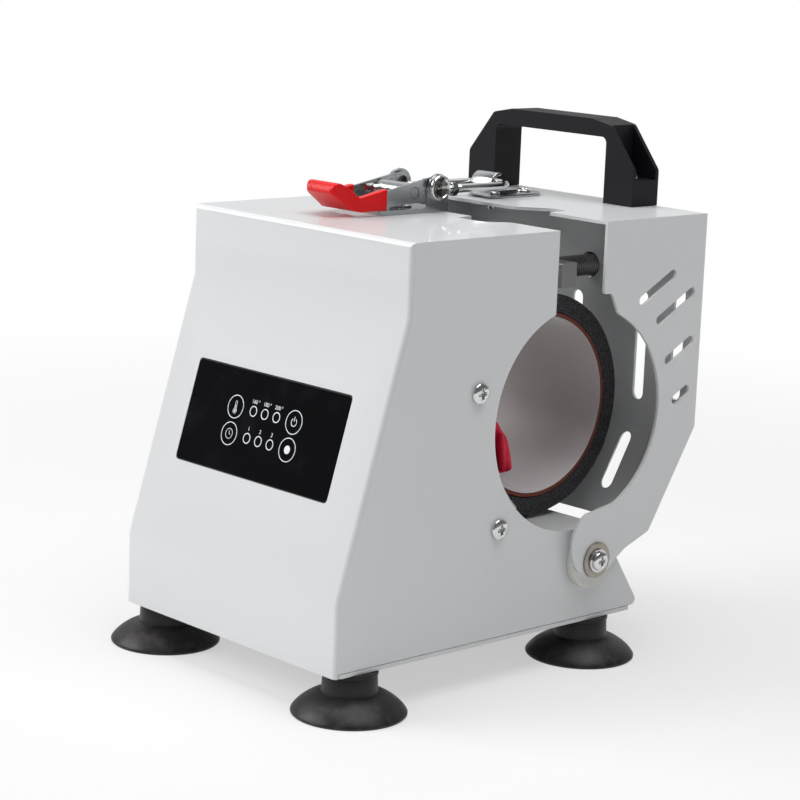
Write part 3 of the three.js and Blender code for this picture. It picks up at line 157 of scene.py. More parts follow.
class Wire:
    """One output socket. Sums and products of wires and numbers add Math nodes."""

    def __init__(self, look, socket):
        self.look = look
        self.socket = socket

    def math(self, operation, *others):
        values = dict(enumerate((self, *others)))
        return self.look.node("ShaderNodeMath", {"operation": operation}, values)

    def __add__(self, other):
        return self.math("ADD", other)

    __radd__ = __add__

    def __mul__(self, other):
        return self.math("MULTIPLY", other)

    __rmul__ = __mul__

    def __sub__(self, other):
        return self.math("SUBTRACT", other)

    def __rsub__(self, other):
        return self.look.node("ShaderNodeMath", {"operation": "SUBTRACT"}, {0: other, 1: self})

    def sine(self):
        return self.math("SINE")

    def ramp(self, low, high):
        """0 below low, 1 above high, smooth between them."""
        settings = {"interpolation_type": "SMOOTHSTEP"}
        return self.look.node("ShaderNodeMapRange", settings, {0: self, 1: low, 2: high})


class Look:
    """A material, or the world, that is built from nodes. A world's place is a direction."""

    def __init__(self, name, world=None):
        self.owner = world or bpy.data.materials.new(name)
        self.owner.use_nodes = True
        self.tree = self.owner.node_tree
        self.tree.nodes.clear()
        self.place = self.node("ShaderNodeTexCoord", output="Generated" if world else "Object")

    def node(self, kind, settings=None, values=None, output=0):
        """New node with its settings, then the values or links of its sockets; returns an output."""
        made = self.tree.nodes.new(kind)
        for key, value in (settings or {}).items():
            setattr(made, key, value)
        for key, value in (values or {}).items():
            if isinstance(value, Wire):
                self.tree.links.new(value.socket, made.inputs[key])
            else:
                made.inputs[key].default_value = value
        return Wire(self, made.outputs[output]) if made.outputs else None

    def vector(self, operation, *values, output=0):
        """Vector Math on vectors; some operations give their number as the output Value."""
        settings = {"operation": operation}
        return self.node("ShaderNodeVectorMath", settings, dict(enumerate(values)), output)

    def stretched(self, x, y, z, centre=None):
        """Object coordinates counted from a point in the press's frame, each times its own factor."""
        back = [-v for v in here(centre)] if centre else [0, 0, 0]
        return self.vector("MULTIPLY", self.vector("ADD", self.place, back), (x, y, z))

    def noise(self, scale, detail=2.0, where=None):
        """Noise from 0 to 1; scale counts lumps per metre."""
        values = {"Vector": where or self.place, "Scale": scale, "Detail": detail}
        return self.node("ShaderNodeTexNoise", None, values)

    def cells(self, scale, feature="F1", where=None):
        """Distance from the middle or the edge of irregular cells; scale counts cells per metre."""
        values = {"Vector": where or self.place, "Scale": scale}
        return self.node("ShaderNodeTexVoronoi", {"feature": feature}, values)

    def mixed(self, first, second, share):
        """Colour between two colours."""
        values = {0: share}
        for slot_number, value in ((6, first), (7, second)):
            values[slot_number] = value if isinstance(value, Wire) else (*value, 1.0)
        return self.node("ShaderNodeMix", {"data_type": "RGBA"}, values, 2)

    def toned(self, name, dark, light, share):
        """Colour between two shades of one of the panel's colours."""
        return self.mixed(shade(name, dark), shade(name, light), share)

    def along(self, axis, where=None):
        """One coordinate of a place."""
        return self.node("ShaderNodeSeparateXYZ", None, {0: where or self.place}, axis)

    def length_of(self, vector):
        """Square root of the sum of a vector's squares."""
        return self.vector("LENGTH", vector, output="Value")

    def off_line(self, y, z):
        """Distance from the line along X through a point of the press's frame."""
        return self.length_of(self.stretched(0.0, 1.0, 1.0, (0.0, y, z)))

    def light_path(self, kind):
        """1 for rays of that kind, 0 for others."""
        return self.node("ShaderNodeLightPath", output=kind)

    def bump(self, height, depth_mm, strength=1.0):
        """Normal that follows a height from 0 to 1 over that depth."""
        values = {"Height": height, "Distance": depth_mm * 0.001, "Strength": strength}
        return self.node("ShaderNodeBump", None, values)

    def surface(self, **values):
        """Principled shader; names are its sockets with underscores for spaces."""
        named = {key.replace("_", " "): value for key, value in values.items()}
        shader = self.node("ShaderNodeBsdfPrincipled", None, named)
        self.finish(shader)
        return self.owner

    def finish(self, shader):
        self.node("ShaderNodeOutputMaterial", None, {"Surface": shader})


def shade(name, factor):
    """Colour of that name from the panel, times a factor."""
    return tuple(min(1.0, value * factor) for value in getattr(colours(), name))


# Finishes


def powder_coat():
    """Gloss white powder coat: faint orange peel, slow change of tone, a little dust in the gloss."""
    look = Look("powder_coat")
    fine = look.noise(420.0, 3.0)
    peel = look.noise(760.0, 1.5)
    body = look.toned("coat", 0.965, 1.03, look.noise(9.0))
    body = look.mixed(body, shade("coat", 0.93), fine.ramp(0.60, 0.78) * 0.35)
    return look.surface(
        Base_Color=body,
        Roughness=0.30 + fine * 0.10,
        Coat_Weight=0.40,
        Coat_Roughness=0.05,
        Normal=look.bump(peel, 0.018, 0.55),
    )


def black_glass():
    """Black back-painted glass with faint smudges in the gloss."""
    look = Look("black_glass")
    smudge = look.noise(60.0, 4.0, look.stretched(1.0, 1.6, 0.7))
    mark = smudge.ramp(0.52, 0.72)
    return look.surface(
        Base_Color=look.mixed((0.0022, 0.0021, 0.0030), (0.0052, 0.0050, 0.0062), mark),
        Roughness=0.045 + mark * 0.11,
        IOR=1.31,
    )


def printed_ink():
    """Pale print on the glass, with a faint painted glow."""
    look = Look("printed_ink")
    grain = look.noise(4000.0)
    return look.surface(
        Base_Color=look.mixed((0.62, 0.66, 0.70), (0.80, 0.83, 0.86), grain),
        Roughness=0.35 + grain * 0.15,
        # painted light: the print glows faintly
        Emission_Color=(0.70, 0.78, 0.85, 1.0),
        Emission_Strength=0.12,
    )


def foot_rubber():
    """Moulded rubber: black neck, flare with brown dust in blotches and fine grain; the dust and pale
    flecks lie only on the flare and also paint the light that falls on it.
    """
    look = Look("foot_rubber")
    # painted light: dust and flecks only on the flare, below the neck, make it lighter as if lit
    flare = 1.0 - look.along("Z").ramp(0.0075, 0.0115)
    cloud = look.noise(55.0, 4.0)
    dust_and_painted_light = look.noise(230.0, 5.0).ramp(0.44, 0.72) * flare
    grain = look.noise(2600.0, 3.0)
    fleck = look.noise(1500.0).ramp(0.66, 0.74) * flare
    body = look.toned("rubber", 0.80, 1.50, cloud)
    body = look.mixed(body, (0.088, 0.073, 0.066), dust_and_painted_light * 0.34)
    return look.surface(
        Base_Color=look.mixed(body, (0.24, 0.21, 0.19), fleck * 0.35),
        Roughness=0.34 + cloud * 0.14 + dust_and_painted_light * 0.14,
        Specular_IOR_Level=0.36,
        Normal=look.bump(grain + dust_and_painted_light * 0.6, 0.06, 0.6),
    )


def bright_zinc():
    """Zinc-plated steel: bluish and yellowish clouds, rolling marks, small scratches."""
    look = Look("bright_zinc")
    cloud = look.noise(90.0, 3.0)
    streak = look.noise(300.0, 3.0, look.stretched(1.0, 0.16, 1.0))
    scratch = look.noise(1500.0, 2.0, look.stretched(0.15, 1.0, 1.0)).ramp(0.60, 0.72)
    body = look.mixed((0.34, 0.365, 0.385), (0.52, 0.53, 0.52), cloud)
    body = look.mixed(body, (0.26, 0.31, 0.35), streak.ramp(0.50, 0.85) * 0.35)
    return look.surface(
        Base_Color=body,
        Metallic=1.0,
        Roughness=0.17 + streak * 0.12 + scratch * 0.06,
        Normal=look.bump(streak + scratch * 0.5, 0.006, 0.30),
    )


def bright_chrome():
    """Polished heads: nearly mirror, faint pits and a grey cast."""
    look = Look("bright_chrome")
    cloud = look.noise(160.0, 3.0)
    pit = look.noise(2600.0).ramp(0.62, 0.75)
    return look.surface(
        Base_Color=look.mixed((0.60, 0.61, 0.62), (0.74, 0.74, 0.73), cloud),
        Metallic=1.0,
        Roughness=0.09 + cloud * 0.10 + pit * 0.12,
        Normal=look.bump(pit, 0.01, 0.4),
    )


def dark_chrome():
    """Polished dish of a rivet: mirror gloss, bright rim, and a dark brown middle that is partly stain and
    partly a painted reflection of the dim room.
    """
    look = Look("dark_chrome")
    stain_and_reflection = look.noise(420.0, 3.0)
    # painted reflection: inside the rim the dish is painted dark brown, with stain, for the mirrored room
    inner = 1.0 - look.off_line(*RIVET_LINE).ramp(0.0036, 0.0050)
    body = look.mixed((0.10, 0.088, 0.078), (0.34, 0.33, 0.315), stain_and_reflection.ramp(0.42, 0.60))
    return look.surface(
        Base_Color=look.mixed((0.66, 0.67, 0.68), body, inner),
        Metallic=1.0,
        Roughness=0.07 + stain_and_reflection * 0.12,
        Normal=look.bump(stain_and_reflection, 0.02, 0.3),
    )


def turned_steel():
    """Plain steel turned about the hinge axis: rings, a brown film and stains."""
    look = Look("turned_washer")
    ring = (look.off_line(*HINGE_LINE) * 9000.0).sine() * 0.5 + 0.5
    film = look.noise(240.0, 4.0)
    body = look.mixed((0.30, 0.27, 0.23), (0.46, 0.43, 0.38), film)
    return look.surface(
        Base_Color=look.mixed(body, (0.20, 0.17, 0.14), film.ramp(0.55, 0.8) * 0.6),
        Metallic=1.0,
        Roughness=0.30 + film * 0.20,
        Normal=look.bump(ring, 0.03, 0.35),
    )


def brushed_steel():
    """Sawn and brushed bar: fine lines along its length."""
    look = Look("brushed_steel")
    line = look.noise(2200.0, 2.0, look.stretched(0.03, 1.0, 1.0))
    cloud = look.noise(120.0, 3.0)
    return look.surface(
        Base_Color=look.mixed((0.48, 0.48, 0.475), (0.72, 0.72, 0.71), line * 0.5 + cloud * 0.5),
        Metallic=0.45,
        Roughness=0.30 + line * 0.18,
        Normal=look.bump(line, 0.03, 0.5),
    )


def dark_oxide():
    """Black-oxide steel: almost black, worn to metal on the crests."""
    look = Look("dark_oxide")
    cloud = look.noise(350.0, 4.0)
    edge = look.node("ShaderNodeNewGeometry", output="Pointiness").ramp(0.505, 0.56)
    body = look.mixed((0.130, 0.130, 0.134), (0.230, 0.227, 0.222), cloud)
    return look.surface(
        Base_Color=look.mixed(body, (0.46, 0.45, 0.44), edge * 0.7),
        Metallic=0.9,
        Roughness=0.34 + cloud * 0.18,
        Normal=look.bump(cloud, 0.02, 0.3),
    )


def sponge_foam():
    """Closed-cell foam: open pores on the cut faces, pale specks, soft lumps."""
    look = Look("sponge_foam")
    pore = look.cells(1150.0).ramp(0.10, 0.55)
    lump = look.noise(600.0, 4.0)
    speck = look.noise(1500.0).ramp(0.58, 0.68)
    body = look.toned("foam", 0.22, 1.9, pore * 0.6 + lump * 0.4)
    body = look.mixed(body, (0.22, 0.215, 0.22), speck * 0.7)
    return look.surface(
        Base_Color=body,
        Roughness=0.93,
        Specular_IOR_Level=0.2,
        Normal=look.bump(pore + lump, 0.55, 1.0),
    )


def heater_silicone():
    """Silicone on glass cloth: brown red with a fine weave."""
    look = Look("heater_silicone")
    warp = (look.along("X") * 5200.0).sine()
    cloud = look.noise(220.0, 3.0)
    grain = look.noise(1500.0)
    return look.surface(
        Base_Color=look.toned("heater", 0.7, 1.35, cloud * 0.5 + grain * 0.5),
        Roughness=0.62 + grain * 0.2,
        Normal=look.bump(warp * 0.3 + grain, 0.08, 0.6),
    )


def satin_liner():
    """Satin liner: fine thread lines across the band, slow silky clouds, and its floor painted paler as a
    pool of light.
    """
    look = Look("satin_liner")
    thread = look.noise(1900.0, 2.0, look.stretched(0.10, 1.0, 1.0))
    cross = look.noise(1500.0, 2.0, look.stretched(1.0, 0.12, 0.12))
    cloud = look.noise(34.0, 3.0)
    body = look.toned("liner", 0.86, 1.08, cloud)
    body = look.mixed(body, shade("liner", 0.80), thread.ramp(0.5, 0.75) * 0.45)
    # painted light: below 90 mm the liner is painted paler towards the bottom, as if lit there
    floor = 1.0 - look.along("Z").ramp(here((0, 0, 56))[2], here((0, 0, 90))[2])
    return look.surface(
        Base_Color=look.mixed(body, (0.80, 0.745, 0.765), floor * 0.75),
        Roughness=0.42 + thread * 0.16,
        Specular_IOR_Level=0.55,
        Sheen_Weight=0.80,
        Sheen_Roughness=0.35,
        Normal=look.bump(thread + cross * 0.7, 0.05, 0.5),
    )


def lead_sleeving():
    """Coated glass sleeving: deep red, soft gloss, faint braid."""
    look = Look("lead_sleeving")
    cloud = look.noise(180.0, 4.0)
    braid = look.cells(1400.0, where=look.stretched(1.0, 1.0, 0.6))
    return look.surface(
        Base_Color=look.toned("sleeve", 0.55, 1.25, cloud),
        Roughness=0.30 + cloud * 0.20,
        Specular_IOR_Level=0.25,
        Subsurface_Weight=0.06,
        Subsurface_Radius=(0.004, 0.001, 0.001),
        Normal=look.bump(braid + cloud, 0.10, 0.35),
    )


def dipped_vinyl():
    """Dipped vinyl grip: soft gloss, with a field of pimples on the blade towards the tip, their tops
    painted paler as highlights.
    """
    look = Look("dipped_vinyl")
    across = look.along("X", look.stretched(1.0, 1.0, 1.0, (LATCH_MIDDLE, 0, 0)))
    inside = 1.0 - across.math("ABSOLUTE").ramp(0.0078, 0.0092)
    field = inside * (1.0 - look.along("Y").ramp(here((0, 38, 0))[1], here((0, 47, 0))[1]))
    # painted highlight: the pimples' tops are painted pale pink where the gloss would catch light
    pimple_and_glint = 1.0 - look.cells(640.0, where=look.stretched(1.0, 1.0, 0.2)).ramp(0.10, 0.40)
    cloud = look.noise(120.0, 3.0)
    body = look.toned("grip", 0.86, 1.10, cloud)
    return look.surface(
        Base_Color=look.mixed(body, (0.88, 0.14, 0.13), pimple_and_glint * field * 0.45),
        Roughness=0.30 + cloud * 0.14,
        Specular_IOR_Level=0.22,
        Coat_Weight=0.06,
        Coat_Roughness=0.10,
        Subsurface_Weight=0.05,
        Subsurface_Radius=(0.004, 0.001, 0.001),
        Normal=look.bump(pimple_and_glint * field + cloud * 0.10, 0.50, 1.0),
    )


def moulded_plastic():
    """Glass-filled nylon: fine spark-eroded grain, slightly polished by hands."""
    look = Look("moulded_plastic")
    grain = look.noise(3400.0, 3.0)
    cloud = look.noise(28.0, 3.0)
    return look.surface(
        Base_Color=look.toned("handle", 0.70, 1.15, grain * 0.6 + cloud * 0.4),
        Roughness=0.40 + cloud * 0.12 + grain * 0.08,
        Specular_IOR_Level=0.20,
        Normal=look.bump(grain, 0.035, 0.6),
    )


def milky_nylon():
    """Turned nylon: milky, faint rings."""
    look = Look("milky_nylon")
    ring = (look.off_line(*HINGE_LINE) * 6500.0).sine() * 0.5 + 0.5
    cloud = look.noise(150.0, 3.0)
    return look.surface(
        Base_Color=look.toned("nylon", 0.9, 1.04, cloud),
        Roughness=0.36 + cloud * 0.1,
        Subsurface_Weight=0.25,
        Subsurface_Radius=(0.004, 0.004, 0.0035),
        Normal=look.bump(ring, 0.02, 0.3),
    )


def circuit_board():
    """Green solder mask with tracks and pale pads."""
    look = Look("circuit_board")
    track = look.cells(420.0, "DISTANCE_TO_EDGE").ramp(0.02, 0.06)
    pad = 1.0 - look.cells(260.0).ramp(0.10, 0.16)
    body = look.mixed((0.035, 0.16, 0.07), (0.012, 0.075, 0.03), track)
    return look.surface(
        Base_Color=look.mixed(body, (0.55, 0.55, 0.50), pad * 0.8),
        Roughness=0.38 + track * 0.1,
        Normal=look.bump(track, 0.04, 0.5),
    )


# Mesh helpers


def mesh_object(name, vertices, faces, body, material, slot, nodes=(), crease=SOFT_CREASE):
    """Piece from millimetre points and faces, its faces turned out and sharp above the crease angle."""
    mesh = bpy.data.meshes.new(name)
    mesh.from_pydata(here(vertices).tolist(), [], faces)
    work = bmesh.new()
    work.from_mesh(mesh)
    bmesh.ops.remove_doubles(work, verts=work.verts, dist=1e-7)
    bmesh.ops.recalc_face_normals(work, faces=work.faces)
    work.to_mesh(mesh)
    work.free()
    piece = smooth_piece(mesh, name, material)
    mesh.set_sharp_from_angle(angle=crease)
    if body:
        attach(piece, body)
    if nodes:
        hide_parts(*nodes)
    return piece


def smooth_piece(mesh, name, material):
    """Object in the scene with that mesh, shaded smooth in one finish."""
    mesh.polygons.foreach_set("use_smooth", np.ones(len(mesh.polygons), bool))
    mesh.materials.clear()
    mesh.materials.append(material)
    piece = bpy.data.objects.new(name, mesh)
    bpy.context.scene.collection.objects.link(piece)
    return piece


def grid_faces(rows, columns, around=True, along=False):
    """Four-cornered faces of a grid of points. around joins the ends of each row, and along joins
    the last row to the first."""
    index = np.arange(rows * columns).reshape(rows, columns)
    if around:
        index = np.concatenate([index, index[:, :1]], axis=1)
    if along:
        index = np.concatenate([index, index[:1]], axis=0)
    corners = (index[:-1, :-1], index[:-1, 1:], index[1:, 1:], index[1:, :-1])
    return np.stack([corner.ravel() for corner in corners], -1).tolist()


def skin(grid, around=True, along=False, caps=True):
    """Points and faces of a surface through grid[row, column]; caps close its two ends with fans."""
    grid = np.asarray(grid, float)
    rows, columns = grid.shape[:2]
    points = grid.reshape(-1, 3)
    faces = grid_faces(rows, columns, around, along)
    if caps:
        for row in (0, rows - 1):
            middle = len(points)
            points = np.vstack([points, grid[row].mean(axis=0)])
            start = row * columns + np.arange(columns)
            fan = np.stack([start, np.roll(start, -1), np.full(columns, middle)], -1)
            faces += fan.tolist()
    return points, faces


def merged(*parts):
    """Several point and face lists as one."""
    points = []
    faces = []
    for part_points, part_faces in parts:
        shift = sum(len(p) for p in points)
        points.append(np.asarray(part_points, float))
        faces += [[corner + shift for corner in face] for face in part_faces]
    return np.vstack(points), faces


def basis(axis):
    """Two directions square to an axis, so that the first, the second and the axis are right-handed."""
    axis = np.asarray(axis, float)
    helper = AXIS_Z if abs(axis[2]) < 0.9 else AXIS_Y
    first = np.cross(helper, axis)
    first /= np.linalg.norm(first)
    return first, np.cross(axis, first), axis


def around_axis(radius, height, angle, centre, axis):
    """Point = centre + radius (cos angle e1 + sin angle e2) + height axis, for whole arrays."""
    first, second, axis = basis(axis)
    radius, height, angle = np.broadcast_arrays(radius, height, angle)
    return (
        np.asarray(centre, float)
        + (radius * np.cos(angle))[..., None] * first
        + (radius * np.sin(angle))[..., None] * second
        + height[..., None] * axis
    )


def turn(count):
    """Angles of a full turn in count even steps."""
    return np.arange(count) * 2 * math.pi / count


def softened(profile, radius=0.3, steps=3):
    """Profile of (radius, height) with each inner corner cut by a short quadratic curve."""
    points = [np.asarray(p, float) for p in profile]
    out = [points[0]]
    for before, corner, after in zip(points, points[1:], points[2:]):
        into = before - corner
        away = after - corner
        reach = min(radius, 0.45 * np.linalg.norm(into), 0.45 * np.linalg.norm(away))
        start = corner + into / np.linalg.norm(into) * reach
        end = corner + away / np.linalg.norm(away) * reach
        for share in np.linspace(0, 1, steps):
            out.append((1 - share) ** 2 * start + 2 * share * (1 - share) * corner + share**2 * end)
    out.append(points[-1])
    return np.array(out)


def lathe(profile, centre, axis, count=64, closed=False):
    """Turned body: the profile's radii and heights carried round the axis."""
    profile = np.asarray(profile, float)
    grid = around_axis(profile[:, :1], profile[:, 1:], turn(count)[None, :], centre, axis)
    return skin(grid, along=closed, caps=not closed)


def smooth_step(value, low, high):
    """s s (3 - 2 s), where s is the value's share of the way from low to high, kept within 0 and 1."""
    share = np.clip((value - low) / (high - low), 0, 1)
    return share * share * (3 - 2 * share)


def smoothed_line(points, count, rounds):
    """Line through flat points, in count even steps, each step then (before + 2 own + after) / 4."""
    knots = np.arange(len(points))
    steps = np.linspace(0, knots[-1], count)
    line = np.stack([np.interp(steps, knots, column) for column in np.transpose(points)], -1)
    for _ in range(rounds):
        line[1:-1] = (line[:-2] + 2 * line[1:-1] + line[2:]) / 4
    return line


def left_of(line):
    """Unit directions to the left of a flat line at each of its points."""
    ahead = np.gradient(line, axis=0)
    ahead /= np.linalg.norm(ahead, axis=1)[:, None]
    return np.stack([-ahead[:, 1], ahead[:, 0]], -1)


def beside(line, side, off):
    """Rows of points line + off * side, as two arrays of first and second coordinates."""
    return np.moveaxis(line[:, None] + off[..., None] * side[:, None], -1, 0)


def winding(height, angle, pitch):
    """|2 frac(z / p - a / 2 pi) - 1|, which falls from 1 to 0 and rises again once in a pitch."""
    return np.abs(2 * np.mod(height[:, None] / pitch - angle / (2 * math.pi), 1) - 1)


def finished_copy(node, material, edge, segments=2):
    """Copy of a solid with its triangles joined into faces and its sharp edges rounded."""
    source = frame["nodes"][node]
    work = bmesh.new()
    work.from_mesh(source.data)
    bmesh.ops.remove_doubles(work, verts=work.verts, dist=2e-6)
    flat = math.radians(0.4)
    bmesh.ops.dissolve_limit(work, angle_limit=flat, verts=work.verts, edges=work.edges)
    mesh = bpy.data.meshes.new(node + "_finish")
    work.to_mesh(mesh)
    work.free()
    piece = smooth_piece(mesh, node + "_finish", material)
    bevel = piece.modifiers.new("rounded edges", "BEVEL")
    bevel.width = edge * 0.001
    bevel.segments = segments
    bevel.limit_method = "ANGLE"
    bevel.angle_limit = math.radians(34)
    bevel.harden_normals = False
    bevel.miter_outer = "MITER_ARC"
    weighted = piece.modifiers.new("flat faces first", "WEIGHTED_NORMAL")
    weighted.weight = 90
    weighted.keep_sharp = True
    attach(piece, source["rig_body"])
    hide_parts(node)
    return piece


def aimed(name, data, right, above, back, place):
    """Object of a camera or lamp that looks against its third direction."""
    thing = bpy.data.objects.new(name, data)
    rows = np.column_stack((right, above, back, place)).tolist()
    thing.matrix_world = Matrix([*rows, (0, 0, 0, 1)])
    bpy.context.scene.collection.objects.link(thing)
    return thing


def repaint(material, *nodes):
    """Gives CAD nodes that keep their own shape a finish."""
    for node in nodes:
        mesh = frame["nodes"][node].data
        mesh.materials.clear()
        mesh.materials.append(material)


# Screws and nuts


def cross_screw(centre, axis, head, height, shank, depth):
    """Round-headed screw with a cross recess.

    The profile runs up the shank, out under the head and over the dome
    z = e + (h - e) cos(a)^0.8, r = R sin(a). The recess lowers the dome by
    d * step(w - m) * step(l - M), with m and M the smaller and larger of |x| and |y|.
    """
    count = 72
    edge = 0.34 * height
    angle = np.linspace(math.pi / 2, 0.03, 30)
    dome = np.stack([head * np.sin(angle), edge + (height - edge) * np.cos(angle) ** 0.8], -1)
    tip = [(0.05, -depth), (shank * 0.7, -depth), (shank, -depth + 0.6)]
    foot = np.array([*tip, (shank, -0.02), (head * 0.94, 0.0), (head, 0.12 * height)])
    profile = np.vstack([foot, dome])
    theta = turn(count)[None, :]
    radius = np.repeat(profile[:, :1], count, axis=1)
    z = np.repeat(profile[:, 1:], count, axis=1)
    x = np.abs(radius * np.cos(theta))
    y = np.abs(radius * np.sin(theta))
    small = np.minimum(x, y)
    large = np.maximum(x, y)
    half = head * (0.165 - 0.07 * large / head)
    slot_depth = smooth_step(half - small, -0.035 * head, 0.045 * head)
    slot_depth = slot_depth * smooth_step(0.56 * head - large, 0.0, 0.12 * head)
    on_dome = (np.arange(len(profile)) >= len(foot))[:, None]
    z = z - on_dome * slot_depth * min(0.85 * height, 0.42 * head)
    return skin(around_axis(radius, z, theta, centre, axis))


def hex_nut(centre, axis, width, height, bore):
    """Hexagon nut: radius = min(w / (2 cos(a mod 60 - 30)), chamfer cone), with a plain bore."""
    angle = turn(72)[None, :]
    flat = np.mod(angle, math.pi / 3) - math.pi / 6
    hexagon = width / 2 / np.cos(flat)
    rise = 0.052 * width
    inner = np.linspace(0.0, 1.0, 5) * rise
    heights = np.concatenate([inner, height - inner[::-1]])
    cone = 0.485 * width + 1.75 * np.minimum(heights, height - heights)
    outer = np.minimum(hexagon, cone[:, None])
    bottom = np.full((1, angle.shape[1]), bore)
    radius = np.vstack([bottom + 0.35, outer, bottom + 0.35, bottom, bottom])
    z = np.concatenate([[0.0], heights, [height, height - 0.35, 0.35]])[:, None]
    return skin(around_axis(radius, z, angle, centre, axis), along=True, caps=False)


# Operators


class StageOperator(bpy.types.Operator):
    """Adds the floor, the soft lamps, the white surroundings and the camera"""

    bl_idname = "mug_press.stage"
    bl_label = "Stage and camera"

    eye_mm = (818.0, -697.6, 321.0)
    yaw, pitch, roll = 46.97, 11.36, 2.22
    focal_pixels, picture_pixels = 2432.0, 800.0

    def execute(self, context):
        scene = context.scene
        scene.view_settings.view_transform = "Standard"
        self.add_camera(scene)
        self.add_floor()
        self.add_surroundings(scene)
        self.add_lamp("key", (-1.2, -1.4, 1.30), (0, -0.02, 0.12), 1.5, 1.1, 33.4)
        self.add_lamp("top", (0.22, 0.05, 1.50), (0, 0, 0.15), 1.6, 1.1, 18.7)
        return {"FINISHED"}

    def add_camera(self, scene):
        """Turned by yaw about Z, then down by pitch, then by roll about the line of sight."""
        yaw, pitch, roll = (math.radians(v) for v in (self.yaw, self.pitch, self.roll))
        level = math.cos(pitch)
        ahead = np.array((-math.sin(yaw) * level, math.cos(yaw) * level, -math.sin(pitch)))
        right = np.array((math.cos(yaw), math.sin(yaw), 0.0))
        above = np.cross(right, ahead)
        turned_right = math.cos(roll) * right + math.sin(roll) * above
        turned_up = -math.sin(roll) * right + math.cos(roll) * above
        data = bpy.data.cameras.new("camera")
        data.sensor_width = 36.0
        data.lens = self.focal_pixels / self.picture_pixels * data.sensor_width
        data.clip_start = 0.05
        data.clip_end = 100.0
        scene.camera = aimed("camera", data, turned_right, turned_up, -ahead, here(self.eye_mm))

    def add_floor(self):
        """Plain pale plane; seen directly it rises to white away from the object, and keeps shadows."""
        reach = 45.0
        mesh = bpy.data.meshes.new("floor")
        corners = [(-reach, -reach, 0), (reach, -reach, 0), (reach, reach, 0), (-reach, reach, 0)]
        mesh.from_pydata(corners, [], [(0, 1, 2, 3)])
        look = Look("floor")
        seen = look.light_path("Is Camera Ray").math("MAXIMUM", self.mirrored_share(look))
        fade = look.length_of(look.place).ramp(0.28, 0.95)
        matte = look.node("ShaderNodeBsdfDiffuse", None, {"Color": (0.80, 0.80, 0.80, 1.0)})
        white = look.node("ShaderNodeEmission", None, {"Color": (1, 1, 1, 1), "Strength": 1.0})
        share = seen * (0.50 + fade * 0.50)
        look.finish(look.node("ShaderNodeMixShader", None, {0: share, 1: matte, 2: white}))
        mesh.materials.append(look.owner)
        floor = bpy.data.objects.new("floor", mesh)
        bpy.context.scene.collection.objects.link(floor)

    def mirrored_share(self, look):
        """1 for rays that metal and glass send on, 0 for all others."""
        return look.light_path("Is Glossy Ray").math("MAXIMUM", look.light_path("Is Transmission Ray"))

    def add_surroundings(self, scene):
        """White to look at. In reflections the wall behind the press grows to white with height,
        and the studio on the camera's side stays as dim as the light that falls on the press."""
        look = Look("surroundings", bpy.data.worlds.new("surroundings"))
        yaw = math.radians(self.yaw)
        ahead = (-math.sin(yaw), math.cos(yaw), 0)
        behind = look.vector("DOT_PRODUCT", look.place, ahead, output="Value")
        rise = look.along("Z").ramp(0.15, 0.55) * 0.7 + 0.3
        mirrored = self.mirrored_share(look) * behind.ramp(0.20, 0.80) * rise
        seen = look.light_path("Is Camera Ray").math("MAXIMUM", mirrored)
        white = look.node("ShaderNodeBackground", None, {"Color": (1, 1, 1, 1), "Strength": 1.0})
        soft = look.node("ShaderNodeBackground", None, {"Color": (1, 1, 1, 1), "Strength": 0.16})
        mix = look.node("ShaderNodeMixShader", None, {0: seen, 1: soft, 2: white})
        look.node("ShaderNodeOutputWorld", None, {"Surface": mix})
        scene.world = look.owner

    def add_lamp(self, name, place, target, width, depth, power):
        """Rectangular lamp, in metres and watts, that faces from its place to the target."""
        data = bpy.data.lights.new(name, "AREA")
        data.shape = "RECTANGLE"
        data.size = width
        data.size_y = depth
        data.energy = power
        away = np.array(place, float) - np.array(target, float)
        aimed(name, data, *basis(away / np.linalg.norm(away)), place)


class SheetMetalOperator(bpy.types.Operator):
    """Coats the folded sheets and rounds their cut edges"""

    bl_idname = "mug_press.sheet_metal"
    bl_label = "Sheet metal"

    def execute(self, context):
        coat = powder_coat()
        edge = sizes().sheet_edge
        for node in ("housing", "jaw_shell"):
            finished_copy(node, coat, edge, 3)
        for node in ("inner_panel", "base_plate"):
            finished_copy(node, coat, 0.7 * edge)
        return {"FINISHED"}


